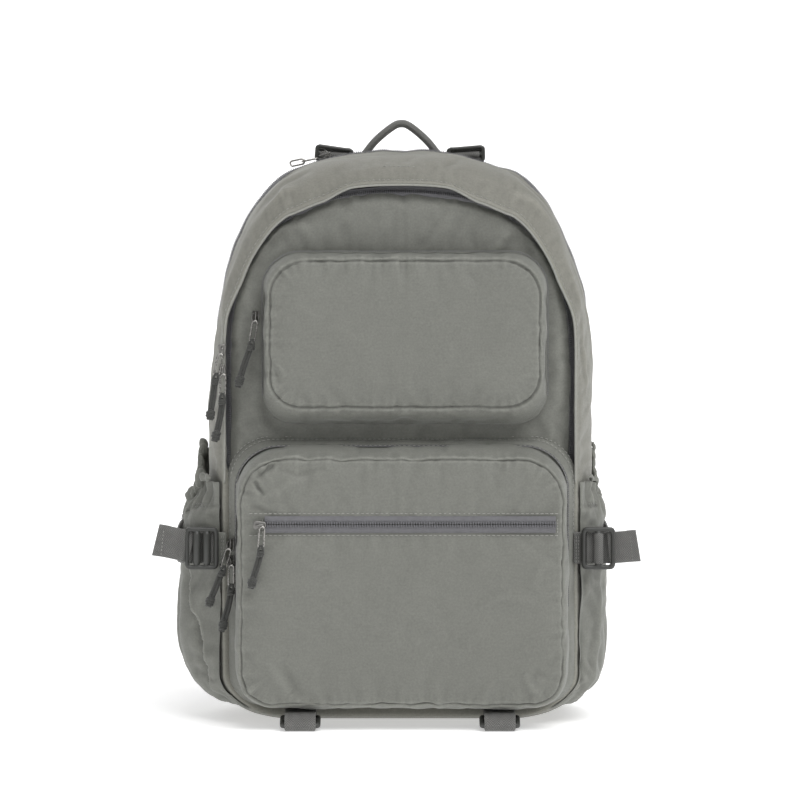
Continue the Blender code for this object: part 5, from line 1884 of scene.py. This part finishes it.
def slider(name, centre, along, outward):
    """A zip slider: two shield-shaped plates, the wedge between them and the bridge for the pull."""
    along, outward = Vector(along).normalized(), Vector(outward).normalized()
    outward = (outward - along * outward.dot(along)).normalized()
    across = outward.cross(along)
    basis = Matrix((along, across, outward)).transposed().to_4x4()
    place = Matrix.Translation(centre) @ basis
    half, wide = 0.0050, 0.0033
    outline = smooth_path([(half, wide * 0.55), (half * 0.7, wide), (0.0, wide * 0.86),
                           (-half * 0.6, wide * 0.74), (-half, wide * 0.4)], 14)
    outline = np.vstack([outline, outline[::-1] * (1.0, -1.0)])
    parts = []
    for shift in (-0.0014, 0.0014):
        lifted = place @ Matrix.Translation((0.0, 0.0, shift))
        parts.append(plate("plate", [outline], 0.0011, 0.0004, SLIDER, lifted))
    core = place @ Matrix.Translation((0.0018, 0.0, 0.0))
    parts.append(plate("core", [outline * 0.42], 0.0024, 0.0003, SLIDER, core))
    shape = Shape()
    bridge = smooth_path([place @ Vector((x, 0.0, z)) for x, z in SLIDER_BRIDGE], 16)
    shape.sweep(bridge, strap_section(0.0018, 0.0009, 4), across=across)
    parts.append(shape.build("bridge", SLIDER))
    for part in parts:
        if "cloth" not in part.data.uv_layers:
            part.data.uv_layers.new(name="cloth")
    piece = joined("slider_body_" + name, parts)
    finish_piece(piece, "slider_" + name, "slider_metal", "slider_" + name)


def sliders():
    for name, (centre, _, _, _) in PULLS.items():
        along, outward = ALONG_Z, (-1.0, -0.45, 0.0)
        if name.startswith("flap"):
            outward = FORWARD
        if name == "front_zip":
            along, outward = (-1.0, 0.0, 0.0), FORWARD
        if name in ("flap_lower", "lower_lower"):
            along = (0.0, 0.0, -1.0)
        slider(name, centre, along, outward)


TOP_SLOPE = 0.2865            # slope of the bag's top at its slider, in radians


def top_zip(shell):
    """The zip along the top rear edge, with its slider and a chain of two wire links on the slope."""
    y = 0.0480
    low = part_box("top_zip")[0].z
    half = body_half(y, 0.0)
    half = half[half[:, 1] > low]
    outline = evenly(slimmed(at_depth(both_halves(half), y)), 300)
    path, outward = laid_on(shell, outline)
    shape = Shape()
    rows = [laid_on(shell, outline + (0.0, shift, 0.0), rise)[0]
            for shift, rise in ((-0.0062, 0.0001), (-0.0058, 0.0009), (-0.0004, 0.0012), (0.0, 0.0007),
                                (0.0004, 0.0012), (0.0058, 0.0009), (0.0062, 0.0001))]
    shape.grid(np.stack(rows), flip=True)
    shape.finish("top_zip_tape", TAPE, "pack", "zip_tape", "top_zip")
    shape = Shape()
    zip_teeth(shape, path + outward * 0.0016, ALONG_Y, size=(0.0036, 0.0008, 0.0012))
    shape.finish("top_zip_coil", TAPE, "pack", "zip_tape")
    rows = [laid_on(shell, outline + (0.0, shift, 0.0)) for shift in (-0.0074, 0.0074)]
    sewn("top_zip_stitches", THREAD, "pack", "nylon_fabric", rows)
    low_corner, high_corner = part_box("slider_top")
    centre = 0.5 * (low_corner + high_corner)
    seat = laid_on(shell, [tuple(centre)], 0.0030)[0][0]
    sink = float(seat[2] - centre.z)
    centre.z += sink
    run, climb = math.cos(TOP_SLOPE), math.sin(TOP_SLOPE)
    slider("top", centre, (run, 0.0, climb), (-climb, 0.0, run))
    top = np.array((-0.06662, 0.0480, 0.45051 + sink))
    low_corner, high_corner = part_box("pull_wire_top")
    foot = np.array((low_corner.x + WIRE_RADIUS, 0.0480, low_corner.z + WIRE_RADIUS - 0.0028))
    reach = foot - top
    links = ((top, top + 0.56 * reach, ALONG_Y),
             (top + 0.48 * reach, foot, np.cross(toward(top, foot), ALONG_Y)))
    shape = Shape()
    for link in links:
        shape.sweep(wire_path(*link), round_section(WIRE_RADIUS), cyclic=True)
    shape.finish("wire_links_top", WIRE, "pull_top", "pull_wire", "pull_wire_top")


body_shell = gusset_shell()
body_trims(body_shell)
front_panel()
flap_zip()
upper_pocket()
pocket_trims(lower_pocket())
back_panel()
sleeve()
grab_handle()
for side_name, side_sign in SIDES:
    side_pocket(side_name, side_sign)
    shoulder_strap(side_name, side_sign)
    load_lifter(side_name, side_sign)
    compression(side_name, side_sign)
    bottom_strap(side_name, side_sign)
sliders()
top_zip(body_shell)
